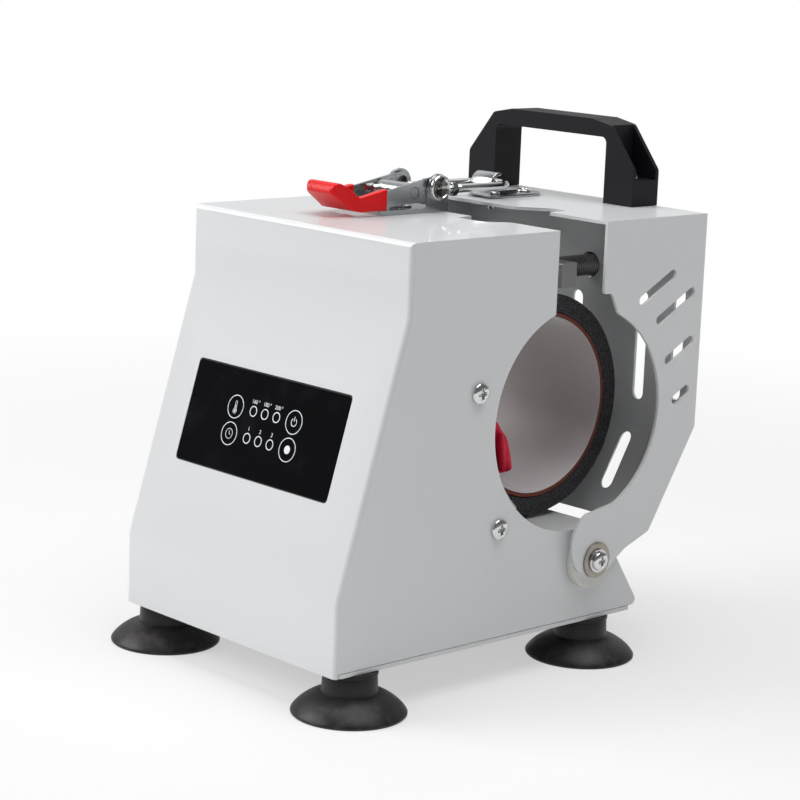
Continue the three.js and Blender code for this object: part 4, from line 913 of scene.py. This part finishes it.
class TouchPanelOperator(bpy.types.Operator):
    """Polishes the glass and prints its rings, glyphs and numerals"""

    bl_idname = "mug_press.touch_panel"
    bl_label = "Touch panel"

    run, rise, bend_height = 35.5, 120.0, 151.4
    proud, sunk = 0.2, 0.02
    capital_share = 0.72

    def print_heights(self):
        """Heights of the print's foot, just inside the glass, and of its top."""
        return self.proud - self.sunk, self.proud + sizes().glass_print

    def on_slope(self, x, down, up):
        """Point at x, so far down the slope from the upper bend, and so far out of it."""
        slant = math.hypot(self.run, self.rise)
        along = np.array((0.0, -self.run / slant, -self.rise / slant))
        out = np.array((0.0, -self.rise / slant, self.run / slant))
        x, down, up = np.broadcast_arrays(x, down, up)
        across = self.bend_height * AXIS_Z + x[..., None] * AXIS_X
        return across + down[..., None] * along + up[..., None] * out

    def line(self, path, width, closed=False):
        """Flat stroke of that width along a path of (x, down) with a rounded top."""
        path = np.asarray(path, float)
        if closed:
            side = -left_of(np.vstack([path[-1:], path, path[:1]]))[1:-1]
        else:
            side = -left_of(path)
        foot, top = self.print_heights()
        rows = []
        for share, up in ((-0.5, foot), (-0.42, top), (0.42, top), (0.5, foot)):
            edge = path + side * share * width
            rows.append(self.on_slope(edge[:, 0], edge[:, 1], up))
        grid = np.stack(rows, 1)
        return skin(grid, around=True, along=closed, caps=not closed)

    def ring(self, x, down, radius, width, start=0.0, end=360.0):
        """Stroke along a circle, or along its arc between two angles in degrees."""
        whole = end - start >= 360.0
        angle = np.radians(np.linspace(start, end, 73))[: -1 if whole else None]
        path = np.stack([x + radius * np.cos(angle), down + radius * np.sin(angle)], -1)
        return self.line(path, width, whole)

    def dot(self, x, down, radius):
        """Flat disc with a slanting edge."""
        angle = turn(48)
        rows = zip((radius, radius * 0.95), self.print_heights())
        return skin([self.on_slope(x + r * np.cos(angle), down + r * np.sin(angle), up) for r, up in rows])

    def numeral(self, text, x, down, height):
        """Numeral from the built-in font, laid on the slope, its middle above that place."""
        curve = bpy.data.curves.new("numeral", "FONT")
        curve.body = text
        curve.align_x = "CENTER"
        curve.size = 1.0
        curve.extrude = 0.01
        curve.resolution_u = 3
        flat = bpy.data.objects.new("numeral", curve)
        mesh = flat.to_mesh()
        count = len(mesh.vertices)
        local = np.zeros(count * 3)
        mesh.vertices.foreach_get("co", local)
        local = local.reshape(-1, 3) * height / self.capital_share
        faces = [list(face.vertices) for face in mesh.polygons]
        foot, top = self.print_heights()
        up = np.where(local[:, 2] > 0, top, foot)
        points = self.on_slope(x + local[:, 0], down - local[:, 1], up)
        flat.to_mesh_clear()
        bpy.data.objects.remove(flat)
        bpy.data.curves.remove(curve)
        return points, faces

    def thermometer(self, x, down):
        """Stem and bulb in outline, with the column inside."""
        stem = [(x - 0.55, down + 1.0), (x - 0.55, down - 2.3), (x, down - 2.8)]
        stem += [(x + 0.55, down - 2.3), (x + 0.55, down + 1.0)]
        return [
            self.line(stem, 0.28),
            self.ring(x, down + 1.9, 1.15, 0.28, -55, 235),
            self.dot(x, down + 1.9, 0.62),
            self.line([(x, down + 1.6), (x, down - 1.0)], 0.30),
        ]

    def clock(self, x, down):
        """Circle with two hands."""
        return [
            self.ring(x, down, 2.3, 0.28),
            self.line([(x, down), (x, down - 1.5)], 0.28),
            self.line([(x, down), (x + 1.05, down + 0.5)], 0.28),
        ]

    def power(self, x, down):
        """Open circle with a bar in its gap."""
        return [
            self.ring(x, down, 1.75, 0.42, -60, 240),
            self.line([(x, down - 2.5), (x, down - 0.5)], 0.42),
        ]

    def execute(self, context):
        finished_copy("touch_glass", black_glass(), 0.35, 3)
        ink = printed_ink()
        upper, lower = 55.35, 67.85
        left, right = -21.0, 19.8
        choices = ((-8.4, "160", "1"), (-0.4, "180", "2"), (7.7, "200", "3"))
        number_above, degree_right, degree_above = 3.5, 2.6, 5.0
        digit = sizes().digit_height
        rings = []
        glyphs = []
        for down in (upper, lower):
            rings.append(self.ring(left, down, 5.25, 0.42))
            rings.append(self.ring(right, down, 5.3, 0.42))
            rings += [self.ring(x, down, 2.25, 0.50) for x, _, _ in choices]
        glyphs += self.thermometer(left, upper) + self.clock(left, lower) + self.power(right, upper)
        glyphs.append(self.dot(right, lower, 1.95))
        for x, warm, minutes in choices:
            glyphs.append(self.numeral(warm, x - 0.35, upper - number_above, digit))
            glyphs.append(self.ring(x + degree_right, upper - degree_above, 0.32, 0.16))
            glyphs.append(self.numeral(minutes, x, lower - number_above, digit))
        for name, parts in (("panel_rings", rings), ("panel_glyphs", glyphs)):
            mesh_object(name, *merged(*parts), "base", ink, "glass")
        return {"FINISHED"}


class BandOperator(bpy.types.Operator):
    """Wraps foam, heater and liner round the mug's place, with a piece across the hinge below that rides
    on no body
    """

    bl_idname = "mug_press.band"
    bl_label = "Heating band"

    # The band ends that far ahead of and behind its centre at the top. Between the flex
    # angles, in degrees from the rear over the top, lies the piece that rides on no body.
    centre = (107.9, 98.0)
    half_length = 50.0
    ahead, behind = 9.5, 3.1
    flex = (247.0, 290.0)

    def section(self, inner, outer, corner, crown):
        """Rounded rectangle in (x, radius) as a closed loop, finer across the band's faces. Its
        corners are quarter circles, and share s of the way out the outer face falls by crown s^2."""
        half = self.half_length
        across = np.linspace(-1, 1, 21)
        low = np.stack([across * (half - corner), np.full(len(across), inner)], -1)
        high = np.stack([-across * (half - corner), outer - crown * across**2], -1)
        near, far = (np.array(shares) * math.pi / 2 for shares in ((0.3, 0.75, 1.0), (0.25, 0.7)))
        parts = []
        for run, x_side, r_in, r_out in ((low, 1, inner, outer), (high, -1, outer, inner)):
            limit, back, rise = half * x_side, corner * x_side, corner * np.sign(r_out - r_in)
            parts.append(run)
            x = limit - back * (1 - np.sin(near))
            parts.append(np.stack([x, r_in + rise * (1 - np.cos(near))], -1))
            if abs(r_out - r_in) > 4 * corner:
                parts.append([(limit, r_in + (r_out - r_in) * share) for share in (0.35, 0.65)])
            x = limit - back * (1 - np.cos(far))
            parts.append(np.stack([x, r_out - rise * (1 - np.sin(far))], -1))
        return np.vstack(parts)

    def wrap(self, section, start, end, step=2.0, wave=0.0):
        """Section carried round: (x, cy + r cos a, cz + r sin a), a between two angles that may
        depend on r, with a slow ripple wave * sin(7a + x / 9) on the foam."""
        first = np.degrees(np.arccos(-self.ahead / section[:, 1])) if start is None else start
        last = 360 + np.degrees(np.arccos(self.behind / section[:, 1])) if end is None else end
        first, last, _ = np.broadcast_arrays(first, last, section[:, 0])
        rows = max(4, int(np.mean(last - first) / step))
        share = np.linspace(0, 1, rows)[:, None]
        angle = np.radians(first[None, :] + share * (last - first)[None, :])
        x = np.repeat(section[None, :, 0], rows, axis=0)
        radius = section[None, :, 1] + wave * np.sin(7 * angle + x / 9) * np.cos(x / 7 + 3 * angle)
        y = self.centre[0] + radius * np.cos(angle)
        z = self.centre[1] + radius * np.sin(angle)
        return skin(np.stack([x, y, z], -1))

    def execute(self, context):
        layers = (
            ("foam", "foam", sponge_foam(), self.section(44.15, 52.6, 0.7, 0.15), 0.12),
            ("heater", "silicone", heater_silicone(), self.section(42.3, 43.8, 0.3, 0.0), 0.0),
            ("liner", "liner", satin_liner(), self.section(41.3, 42.0, 0.2, 0.0), 0.0),
        )
        for layer, slot, material, section, wave in layers:
            front_node = f"band_{layer}_front"
            rear_node = f"band_{layer}_rear"
            front = self.wrap(section, None, self.flex[0], wave=wave)
            rear = self.wrap(section, self.flex[1], None, wave=wave)
            below = self.wrap(section, self.flex[0], self.flex[1], 1.2, wave)
            pieces = [
                mesh_object(f"{layer}_front", *front, "base", material, slot, [front_node]),
                mesh_object(f"{layer}_rear", *rear, "jaw", material, slot, [rear_node]),
                mesh_object(f"{layer}_below", *below, None, material, slot, [front_node, rear_node]),
            ]
            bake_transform(pieces[2])
        return {"FINISHED"}


class LeadSleeveOperator(bpy.types.Operator):
    """Makes the crushed red sleeve that ends beside the band"""

    bl_idname = "mug_press.lead_sleeve"
    bl_label = "Lead sleeve"

    middle, half_thickness, tilt = 65.0, 3.1, 0.62

    def execute(self, context):
        route = [(44.1, 98.0), (50.0, 98.0), (55.0, 98.1), (59.0, 97.6), (62.6, 95.6), (65.4, 92.2)]
        route += [(67.4, 88.0), (68.9, 83.8), (70.2, 79.8), (71.3, 76.0), (71.8, 74.3)]
        count = 64
        centre = smoothed_line(route, count, 14)
        side = left_of(centre)
        share = np.linspace(0, 1, count)
        pinch = np.exp(-(((share - 0.47) / 0.07) ** 2))
        wide = 4.55 + 0.2 * pinch - 0.25 * smooth_step(share, 0.55, 0.8)
        thick = self.half_thickness - 1.35 * pinch - 0.55 * smooth_step(share, 0.75, 1.0)
        outer = self.rows(centre, side, wide, thick, share)
        back = np.arange(count - 1, 40, -3)
        wall = 0.75
        inner = self.rows(centre[back], side[back], wide[back] - wall, thick[back] - wall, share[back])
        lip = 0.5 * (outer[-1:] + inner[:1]) + np.array((0, 0.06, -0.35))
        sleeve = skin(np.concatenate([outer, lip, inner]))
        mesh_object("lead_sleeve_soft", *sleeve, "base", lead_sleeving(), "sleeve", ["lead_sleeve"])
        return {"FINISHED"}

    def rows(self, centre, side, wide, thick, share):
        """Flattened rings: x = middle + a cos t, offset = b sin t, with two creases along the sides.
        The mouth's rings tilt, so that the sleeve opens towards its right front."""
        angle = turn(40)[None, :]
        crease = 1 - 0.16 * np.cos(2 * angle + 5 * share[:, None]) ** 8
        x = self.middle + wide[:, None] * np.cos(angle) * crease
        off = thick[:, None] * np.sin(angle) * crease + 0.25 * np.sin(3 * angle + 9 * share[:, None])
        off = np.clip(off, -self.half_thickness, self.half_thickness)
        y, z = beside(centre, side, off)
        mouth = smooth_step(share[:, None], 0.66, 1.0)
        lift = self.tilt * mouth * (0.73 * (x - self.middle) - 0.68 * off)
        return np.stack([x, y, z + lift], -1)


class FeetOperator(bpy.types.Operator):
    """Moulds the four suction feet"""

    bl_idname = "mug_press.feet"
    bl_label = "Suction feet"

    def execute(self, context):
        rubber = foot_rubber()
        rim = sizes().foot_rim
        angle = np.linspace(0, math.pi / 2, 16)[1:]
        throat = 12.7
        wide = throat + (rim - throat) * np.cos(angle) ** 1.3
        flare = np.stack([wide, 1.2 + 8.8 * np.sin(angle) ** 1.6], -1)
        under = np.linspace(0.02, 0.93, 14)
        hollow = np.stack([rim * under, 4.6 * (1 - (under / 0.93) ** 2.2)], -1)
        lip = [(rim - 1.3, 0.0), (rim - 0.6, 0.02), (rim - 0.12, 0.5), (rim, 1.2)]
        neck = [(12.6, 10.4), (12.5, 10.9), (12.35, 13.0), (12.1, 18.0), (12.0, 18.25)]
        neck += [(12.45, 18.45), (12.5, 19.5), (12.3, 19.85), (11.9, 19.88)]
        bore = [(2.7, 19.88), (2.6, 19.6), (2.6, 8.2), (0.2, 7.9)]
        profile = np.vstack([hollow, lip, flare, neck, bore])
        for end, y in (("front", -18.8), ("rear", 127.5)):
            for word, sign in SIDES:
                foot = lathe(profile, (sign * 65.8, y, -FLOOR_BELOW), AXIS_Z, 96)
                name = f"foot_{end}_{word}"
                mesh_object(name + "_moulded", *foot, "base", rubber, "rubber", [name])
        return {"FINISHED"}


class ScrewsOperator(bpy.types.Operator):
    """Makes the cross-headed screws and rivets"""

    bl_idname = "mug_press.screws"
    bl_label = "Screws and rivets"

    # Radii, height of the head and depth of the shank of each kind, and the places that they sit at
    side = {"head": 4.8, "height": 2.6, "shank": 2.0, "depth": 9.0}
    hinge = {"head": 4.5, "height": 2.2, "shank": 3.0, "depth": 16.3}
    handle = {"head": 4.2, "height": 2.6, "shank": 2.0, "depth": 18.9}
    catch = {"head": 3.6, "height": 1.6, "shank": 2.0, "depth": 7.5}
    latch = {"head": 3.8, "height": 1.6, "shank": 2.0, "depth": 8.0}
    housing_side, ring_seat, bolt_seat = 75.02, 81.72, 82.85
    plate_seat, post_seat, ears = 185.32, 199.52, 13.72
    spring_ring = ((3.2, 0.0), (5.35, 0.0), (5.62, 0.25), (5.62, 0.85), (5.35, 1.10), (3.2, 1.10))

    def execute(self, context):
        chrome = bright_chrome()
        zinc = bright_zinc()
        dish = dark_chrome()
        screws = []
        for word, sign in SIDES:
            out = sign * AXIS_X
            for level, y, z in (("upper", 43.68, 114.49), ("lower", 59.45, 50.72)):
                place = (sign * self.housing_side, y, z)
                screws.append((f"side_screw_{level}_{word}", "base", place, out, self.side, chrome))
            rivet = (LATCH_MIDDLE + sign * self.ears, *RIVET_LINE)
            self.hollow_rivet(f"latch_rivet_{word}", rivet, out, dish)
            ring = lathe(self.spring_ring, (sign * self.ring_seat, *HINGE_LINE), out, 72, closed=True)
            mesh_object(f"hinge_bolt_{word}_spring_ring", *ring, "base", chrome, "zinc")
            dome = (sign * self.bolt_seat, *HINGE_LINE)
            screws.append((f"hinge_bolt_{word}", "base", dome, out, self.hinge, chrome))
            post = (-7.5 + sign * 46.0, 175.6, self.post_seat)
            screws.append((f"handle_screw_{word}", "jaw", post, AXIS_Z, self.handle, zinc))
        for word, y in (("near", 134.2), ("far", 155.9)):
            place = (LATCH_MIDDLE, y, JAW_TOP + CATCH_SHEET)
            screws.append((f"catch_screw_{word}", "jaw", place, AXIS_Z, self.catch, chrome))
        for word, y in (("front", 57.0), ("rear", 75.9)):
            place = (LATCH_MIDDLE, y, self.plate_seat)
            screws.append((f"latch_screw_{word}", "base", place, AXIS_Z, self.latch, zinc))
        for name, body, place, axis, size, material in screws:
            screw = cross_screw(place, axis, **size)
            mesh_object(name + "_fine", *screw, body, material, "zinc", [name])
        repaint(zinc, *(f"foot_screw_{a}_{b}" for a in ("front", "rear") for b in ("left", "right")))
        return {"FINISHED"}

    def hollow_rivet(self, name, place, out, material):
        """Turned rivet: a domed inner head, a shank, and an outer head with a rounded rim
        round a dish whose depth falls with the square of the radius."""
        bowl_radius = 4.7
        radius = np.linspace(bowl_radius, 0.05, 12)
        bowl = np.stack([radius, 0.35 + 1.35 * (radius / bowl_radius) ** 2], -1)
        start = [(0.05, -3.75), (1.9, -3.6), (3.2, -2.95), (2.3, -2.85), (2.3, -0.02)]
        rim = [(5.6, 0.0), (5.95, 0.5), (6.0, 1.2), (5.85, 1.85), (5.5, 2.15), (5.1, 2.1), (4.85, 1.9)]
        rivet = lathe(np.vstack([start, rim, bowl]), place, out, 72)
        mesh_object(name + "_turned", *rivet, "base", material, "zinc", [name])


class LatchOperator(bpy.types.Operator):
    """Finishes the pull latch: base, lever, grip, barrel, looped bolt, nuts and catch"""

    bl_idname = "mug_press.latch"
    bl_label = "Pull latch"

    # (Y, Z) of the barrel, reach of the loop from it, and half the distance between its legs
    barrel = (71.3, 193.5)
    reach, leg = 67.5, 8.6

    def local(self, x, along, up):
        """Point of the looped bolt, measured from the middle of the barrel."""
        x, along, up = np.broadcast_arrays(x, along, up)
        return np.stack([LATCH_MIDDLE + x, self.barrel[0] + along, self.barrel[1] + up], -1)

    def catch(self):
        """Strip of sheet carried along a line in (y, z) that curls over at the hook and then lies
        on the jaw. Its half width grows from hook to plate and ends in a circle."""
        flat = JAW_TOP + CATCH_SHEET / 2
        curl = [(133.2, 198.5), (132.3, 198.8), (131.1, 198.8), (129.6, 198.4), (128.1, 197.4)]
        curl += [(127.0, 196.1), (126.3, 194.2), (125.8, 192.0), (125.5, 190.3), (125.6, 189.0)]
        curl += [(126.4, 188.1), (127.8, flat), (131.0, flat)]
        line = smoothed_line(curl, 61, 10)
        end, round_radius = 163.8, 7.6
        quarter = np.linspace(0.05, 1, 15) * math.pi / 2
        round_y = end - round_radius * (1 - np.sin(quarter))
        lying = np.concatenate([np.linspace(132.0, 156.0, 8), round_y])
        line = np.vstack([line, np.stack([lying, np.full(len(lying), flat)], -1)])
        y = line[:, 0]
        row = np.arange(len(y))
        past_curl = row > 52
        half = 7.0 + np.where(past_curl, smooth_step(y, 127.8, 132.0), 0.0)
        into_end = (y - end + round_radius) / round_radius
        round_end = 0.4 + round_radius * np.sqrt(np.clip(1 - into_end**2, 0, 1))
        half = np.where(into_end > 0, round_end, half)
        tip_rows, tip_inset, soft = 4, 0.9, 0.42
        half = half - tip_inset * (1 - np.sin(np.clip(row / tip_rows, 0, 1) * math.pi / 2))
        corner = np.radians(np.array([0, 30, 60, 90]))
        across, up, side = [], [], []
        for sx, sn in ((1, 1), (-1, 1), (-1, -1), (1, -1)):
            turned = corner if sx == sn else corner[::-1]
            across.append(sx * soft * np.cos(turned))
            up.append(sn * (CATCH_SHEET / 2 - soft + soft * np.sin(turned)))
            side.append(np.full(4, sx))
        across, up, side = (np.concatenate(v)[None, :] for v in (across, up, side))
        x = LATCH_MIDDLE + side * (half[:, None] - soft) + across
        return skin(np.stack([x, *beside(line, left_of(line), up)], -1))

    def dipped_grip(self):
        """The grip's solid, rebuilt in small cells and smoothed, as vinyl rounds when it is dipped."""
        piece = finished_copy("latch_grip", dipped_vinyl(), 0.2, 1)
        piece.modifiers.clear()
        cells = piece.modifiers.new("small cells", "REMESH")
        cells.mode = "VOXEL"
        cells.voxel_size = 0.00042
        cells.use_smooth_shade = True
        soft = piece.modifiers.new("dipped", "SMOOTH")
        soft.factor = 0.5
        soft.iterations = 9

    def looped_bolt(self):
        """Wire of radius r along leg, half circle, leg; on the legs' front part the radius is
        r - t + t * |2 frac(s / p - a / 2pi) - 1| with a rolled thread of depth t and pitch p."""
        radius = sizes().wire_radius
        pitch = sizes().wire_pitch
        straight = self.reach - self.leg
        thread_end = 33.0
        fine = np.arange(-7.9, thread_end, pitch / 6)
        plain_leg = np.linspace(thread_end, straight, 12)[1:]
        bend = np.linspace(0, math.pi, 34)[1:-1]
        leg_line = np.concatenate([fine, plain_leg])
        leg_x = np.full(len(leg_line), self.leg)
        x = np.concatenate([leg_x, self.leg * np.cos(bend), -leg_x])
        along = np.concatenate([leg_line, straight + self.leg * np.sin(bend), leg_line[::-1]])
        angle = turn(24)[None, :]
        on_leg = 1 - smooth_step(along, thread_end - 2 * pitch, thread_end)[:, None]
        size = radius - 0.26 * on_leg * (1 - winding(along, angle, pitch))
        row = np.arange(len(x))
        size = size * (0.80 + 0.20 * smooth_step(np.minimum(row, row[::-1]), 0, 5))[:, None]
        line = np.stack([x, along], -1)
        x, along = beside(line, -left_of(line), size * np.cos(angle))
        return skin(self.local(x, along, size * np.sin(angle)))

    def execute(self, context):
        zinc = bright_zinc()
        finished_copy("latch_base", zinc, 0.30)
        finished_copy("latch_lever", zinc, 0.28)
        finished_copy("latch_barrel", zinc, 0.35, 3)
        catch = self.catch()
        mesh_object("catch_plate_curled", *catch, "jaw", zinc, "zinc", ["catch_plate"], CURL_CREASE)
        self.dipped_grip()
        bolt = self.looped_bolt()
        mesh_object("draw_bolt_threaded", *bolt, "draw_bolt", bright_chrome(), "zinc", ["draw_bolt"])
        for word, sign in SIDES:
            start = self.local(sign * self.leg, 25.8, 0.0)
            nut = hex_nut(start, AXIS_Y, 6.2, 3.2, 2.25)
            name = f"draw_bolt_nut_{word}"
            mesh_object(name + "_fine", *nut, "draw_bolt", zinc, "zinc", [name], NUT_CREASE)
        return {"FINISHED"}


class PressureScrewOperator(bpy.types.Operator):
    """Cuts the pressure rod's thread and makes its nut, knob and bar"""

    bl_idname = "mug_press.pressure_screw"
    bl_label = "Pressure screw"

    centre = np.array((7.0, 0.0, 153.2))

    def thread(self, start, end):
        """Rod of radius r - t |2 frac(z / p - a / 2pi) - 1|, tapered over its first turn."""
        pitch = sizes().rod_pitch
        radius = sizes().rod_radius
        height = np.arange(start, end, pitch / 7)
        angle = turn(40)[None, :]
        flank = np.clip(1.35 * winding(height, angle, pitch) - 0.15, 0, 1)
        size = radius - 0.78 * flank
        point = smooth_step(height - start, 0.0, pitch)[:, None]
        size = size * (0.82 + 0.18 * point)
        return skin(around_axis(size, height[:, None], angle, self.centre, AXIS_Y))

    def knob(self):
        """Scalloped knob: radius (R + q cos 7a) times a rounded edge, on a plain hub. Pairs are
        (height, radius), or (height, share of the scalloped radius)."""
        angle = turn(140)[None, :]
        lobes = 15.0 + 0.95 * np.cos(7 * angle)
        bore = [(209.3, 0.1), (209.3, 5.62), (197.0, 5.62)]
        hub = [(197.0, 8.4), (197.2, 8.8), (200.3, 8.8)]
        edge_shares = [(200.6, 0.72), (201.2, 0.93), (202.2, 0.99), (204, 1.0), (206, 1.0), (208, 1.0)]
        edge_shares += [(209.8, 0.985), (211, 0.93), (211.6, 0.82), (211.9, 0.55)]
        dish = [(211.7, 7.4), (211.2, 6.6), (211.1, 0.2)]
        height, size = np.array(bore + hub + edge_shares + dish).T[:, :, None]
        rows = np.repeat([False, True, False], [len(bore + hub), len(edge_shares), len(dish)])
        radius = size * np.where(rows[:, None], lobes, 1.0)
        return skin(around_axis(radius, height, angle, self.centre, AXIS_Y))

    def execute(self, context):
        oxide = dark_oxide()
        plastic = moulded_plastic()
        zinc = bright_zinc()
        rod = self.thread(143.75, 208.95)
        knob = self.knob()
        nut = hex_nut(self.centre + 186.02 * AXIS_Y, AXIS_Y, 17.0, 6.45, 5.65)
        rows = (
            ("rod", "threaded", rod, "screw", oxide, "dark_steel", THREAD_CREASE),
            ("knob", "scalloped", knob, "screw", plastic, "black_plastic", SOFT_CREASE),
            ("nut", "fine", nut, "jaw", zinc, "zinc", NUT_CREASE),
        )
        for word, kind, piece, body, material, slot, crease in rows:
            name = "pressure_" + word
            mesh_object(f"{name}_{kind}", *piece, body, material, slot, [name], crease)
        finished_copy("cross_bar", brushed_steel(), 0.45, 3)
        return {"FINISHED"}


class HingeOperator(bpy.types.Operator):
    """Finishes the hinge's washers, nylon spacers and nuts"""

    bl_idname = "mug_press.hinge"
    bl_label = "Hinge"

    def execute(self, context):
        steel = turned_steel()
        nylon = milky_nylon()
        washer = [(3.3, 80.75), (8.45, 80.72), (8.45, 81.66), (3.3, 81.68), (3.3, 80.75)]
        spacer = [(3.3, 75.03), (13.95, 75.03), (13.95, 78.75), (3.3, 78.75), (3.3, 75.03)]
        rings = (
            ("hinge_washer_", softened(washer, 0.25, 4)[:-1], 72, steel, "bare_steel"),
            ("hinge_spacer_", softened(spacer, 0.7, 5)[:-1], 96, nylon, "nylon"),
        )
        for word, sign in SIDES:
            for piece, profile, count, material, slot in rings:
                ring = lathe(profile, (0.0, *HINGE_LINE), sign * AXIS_X, count, True)
                mesh_object(f"{piece}{word}_turned", *ring, "base", material, slot, [piece + word])
        repaint(bright_zinc(), "hinge_nut_left", "hinge_nut_right")
        return {"FINISHED"}


class HandleOperator(bpy.types.Operator):
    """Finishes the carry handle and the cord bushing"""

    bl_idname = "mug_press.handle"
    bl_label = "Carry handle and bushing"

    def execute(self, context):
        plastic = moulded_plastic()
        finished_copy("carry_handle", plastic, 0.95, 4)
        profile = [(2.35, -5.9), (5.9, -5.9), (5.95, -0.1), (8.4, 0.03), (8.45, 1.9), (7.4, 2.5)]
        for k in range(4):
            start = 2.9 + 1.7 * k
            profile += [(5.5 - 0.06 * k, start), (5.5 - 0.06 * k, start + 0.9)]
            profile += [(4.8 - 0.06 * k, start + 1.0), (4.8 - 0.06 * k, start + 1.6)]
        profile += [(5.0, 9.75), (4.7, 9.95), (2.35, 9.95), (2.35, -5.9)]
        bushing = lathe(softened(profile, 0.25, 3)[:-1], (-75.0, 8.0, 18.0), -AXIS_X, 64, True)
        mesh_object("cord_bushing_ribbed", *bushing, "base", plastic, "black_plastic", ["cord_bushing"])
        return {"FINISHED"}


class HiddenPartsOperator(bpy.types.Operator):
    """Finishes what sits inside: saddle, rear shell, rivets and control board"""

    bl_idname = "mug_press.hidden_parts"
    bl_label = "Inner parts"

    def execute(self, context):
        finished_copy("front_saddle", dark_oxide(), 0.3)
        finished_copy("rear_shell", dark_oxide(), 0.3)
        repaint(circuit_board(), "control_board")
        repaint(bright_zinc(), "shell_rivet_left", "shell_rivet_right")
        return {"FINISHED"}


STEPS = (
    StageOperator,
    SheetMetalOperator,
    TouchPanelOperator,
    BandOperator,
    LeadSleeveOperator,
    FeetOperator,
    ScrewsOperator,
    LatchOperator,
    PressureScrewOperator,
    HingeOperator,
    HandleOperator,
    HiddenPartsOperator,
)


class DressingPanel(bpy.types.Panel):
    """Lists the steps that dress the press"""

    bl_idname = "VIEW3D_PT_mug_press"
    bl_label = "Mug press"
    bl_space_type = "VIEW_3D"
    bl_region_type = "UI"
    bl_category = "Mug press"

    def draw(self, context):
        for step in STEPS:
            self.layout.operator(step.bl_idname)
        for group in (context.scene.press_sizes, context.scene.press_colours):
            box = self.layout.box()
            for name in group.__annotations__:
                box.prop(group, name)


CLASSES = (PressSizes, PressColours, *STEPS, DressingPanel)


def register():
    for each in CLASSES:
        bpy.utils.register_class(each)
    bpy.types.Scene.press_sizes = bpy.props.PointerProperty(type=PressSizes)
    bpy.types.Scene.press_colours = bpy.props.PointerProperty(type=PressColours)


def unregister():
    del bpy.types.Scene.press_colours
    del bpy.types.Scene.press_sizes
    for each in reversed(CLASSES):
        bpy.utils.unregister_class(each)


def main():
    register()
    for step in STEPS:
        group, name = step.bl_idname.split(".")
        getattr(getattr(bpy.ops, group), name)()


if __name__ == "__main__":
    main()
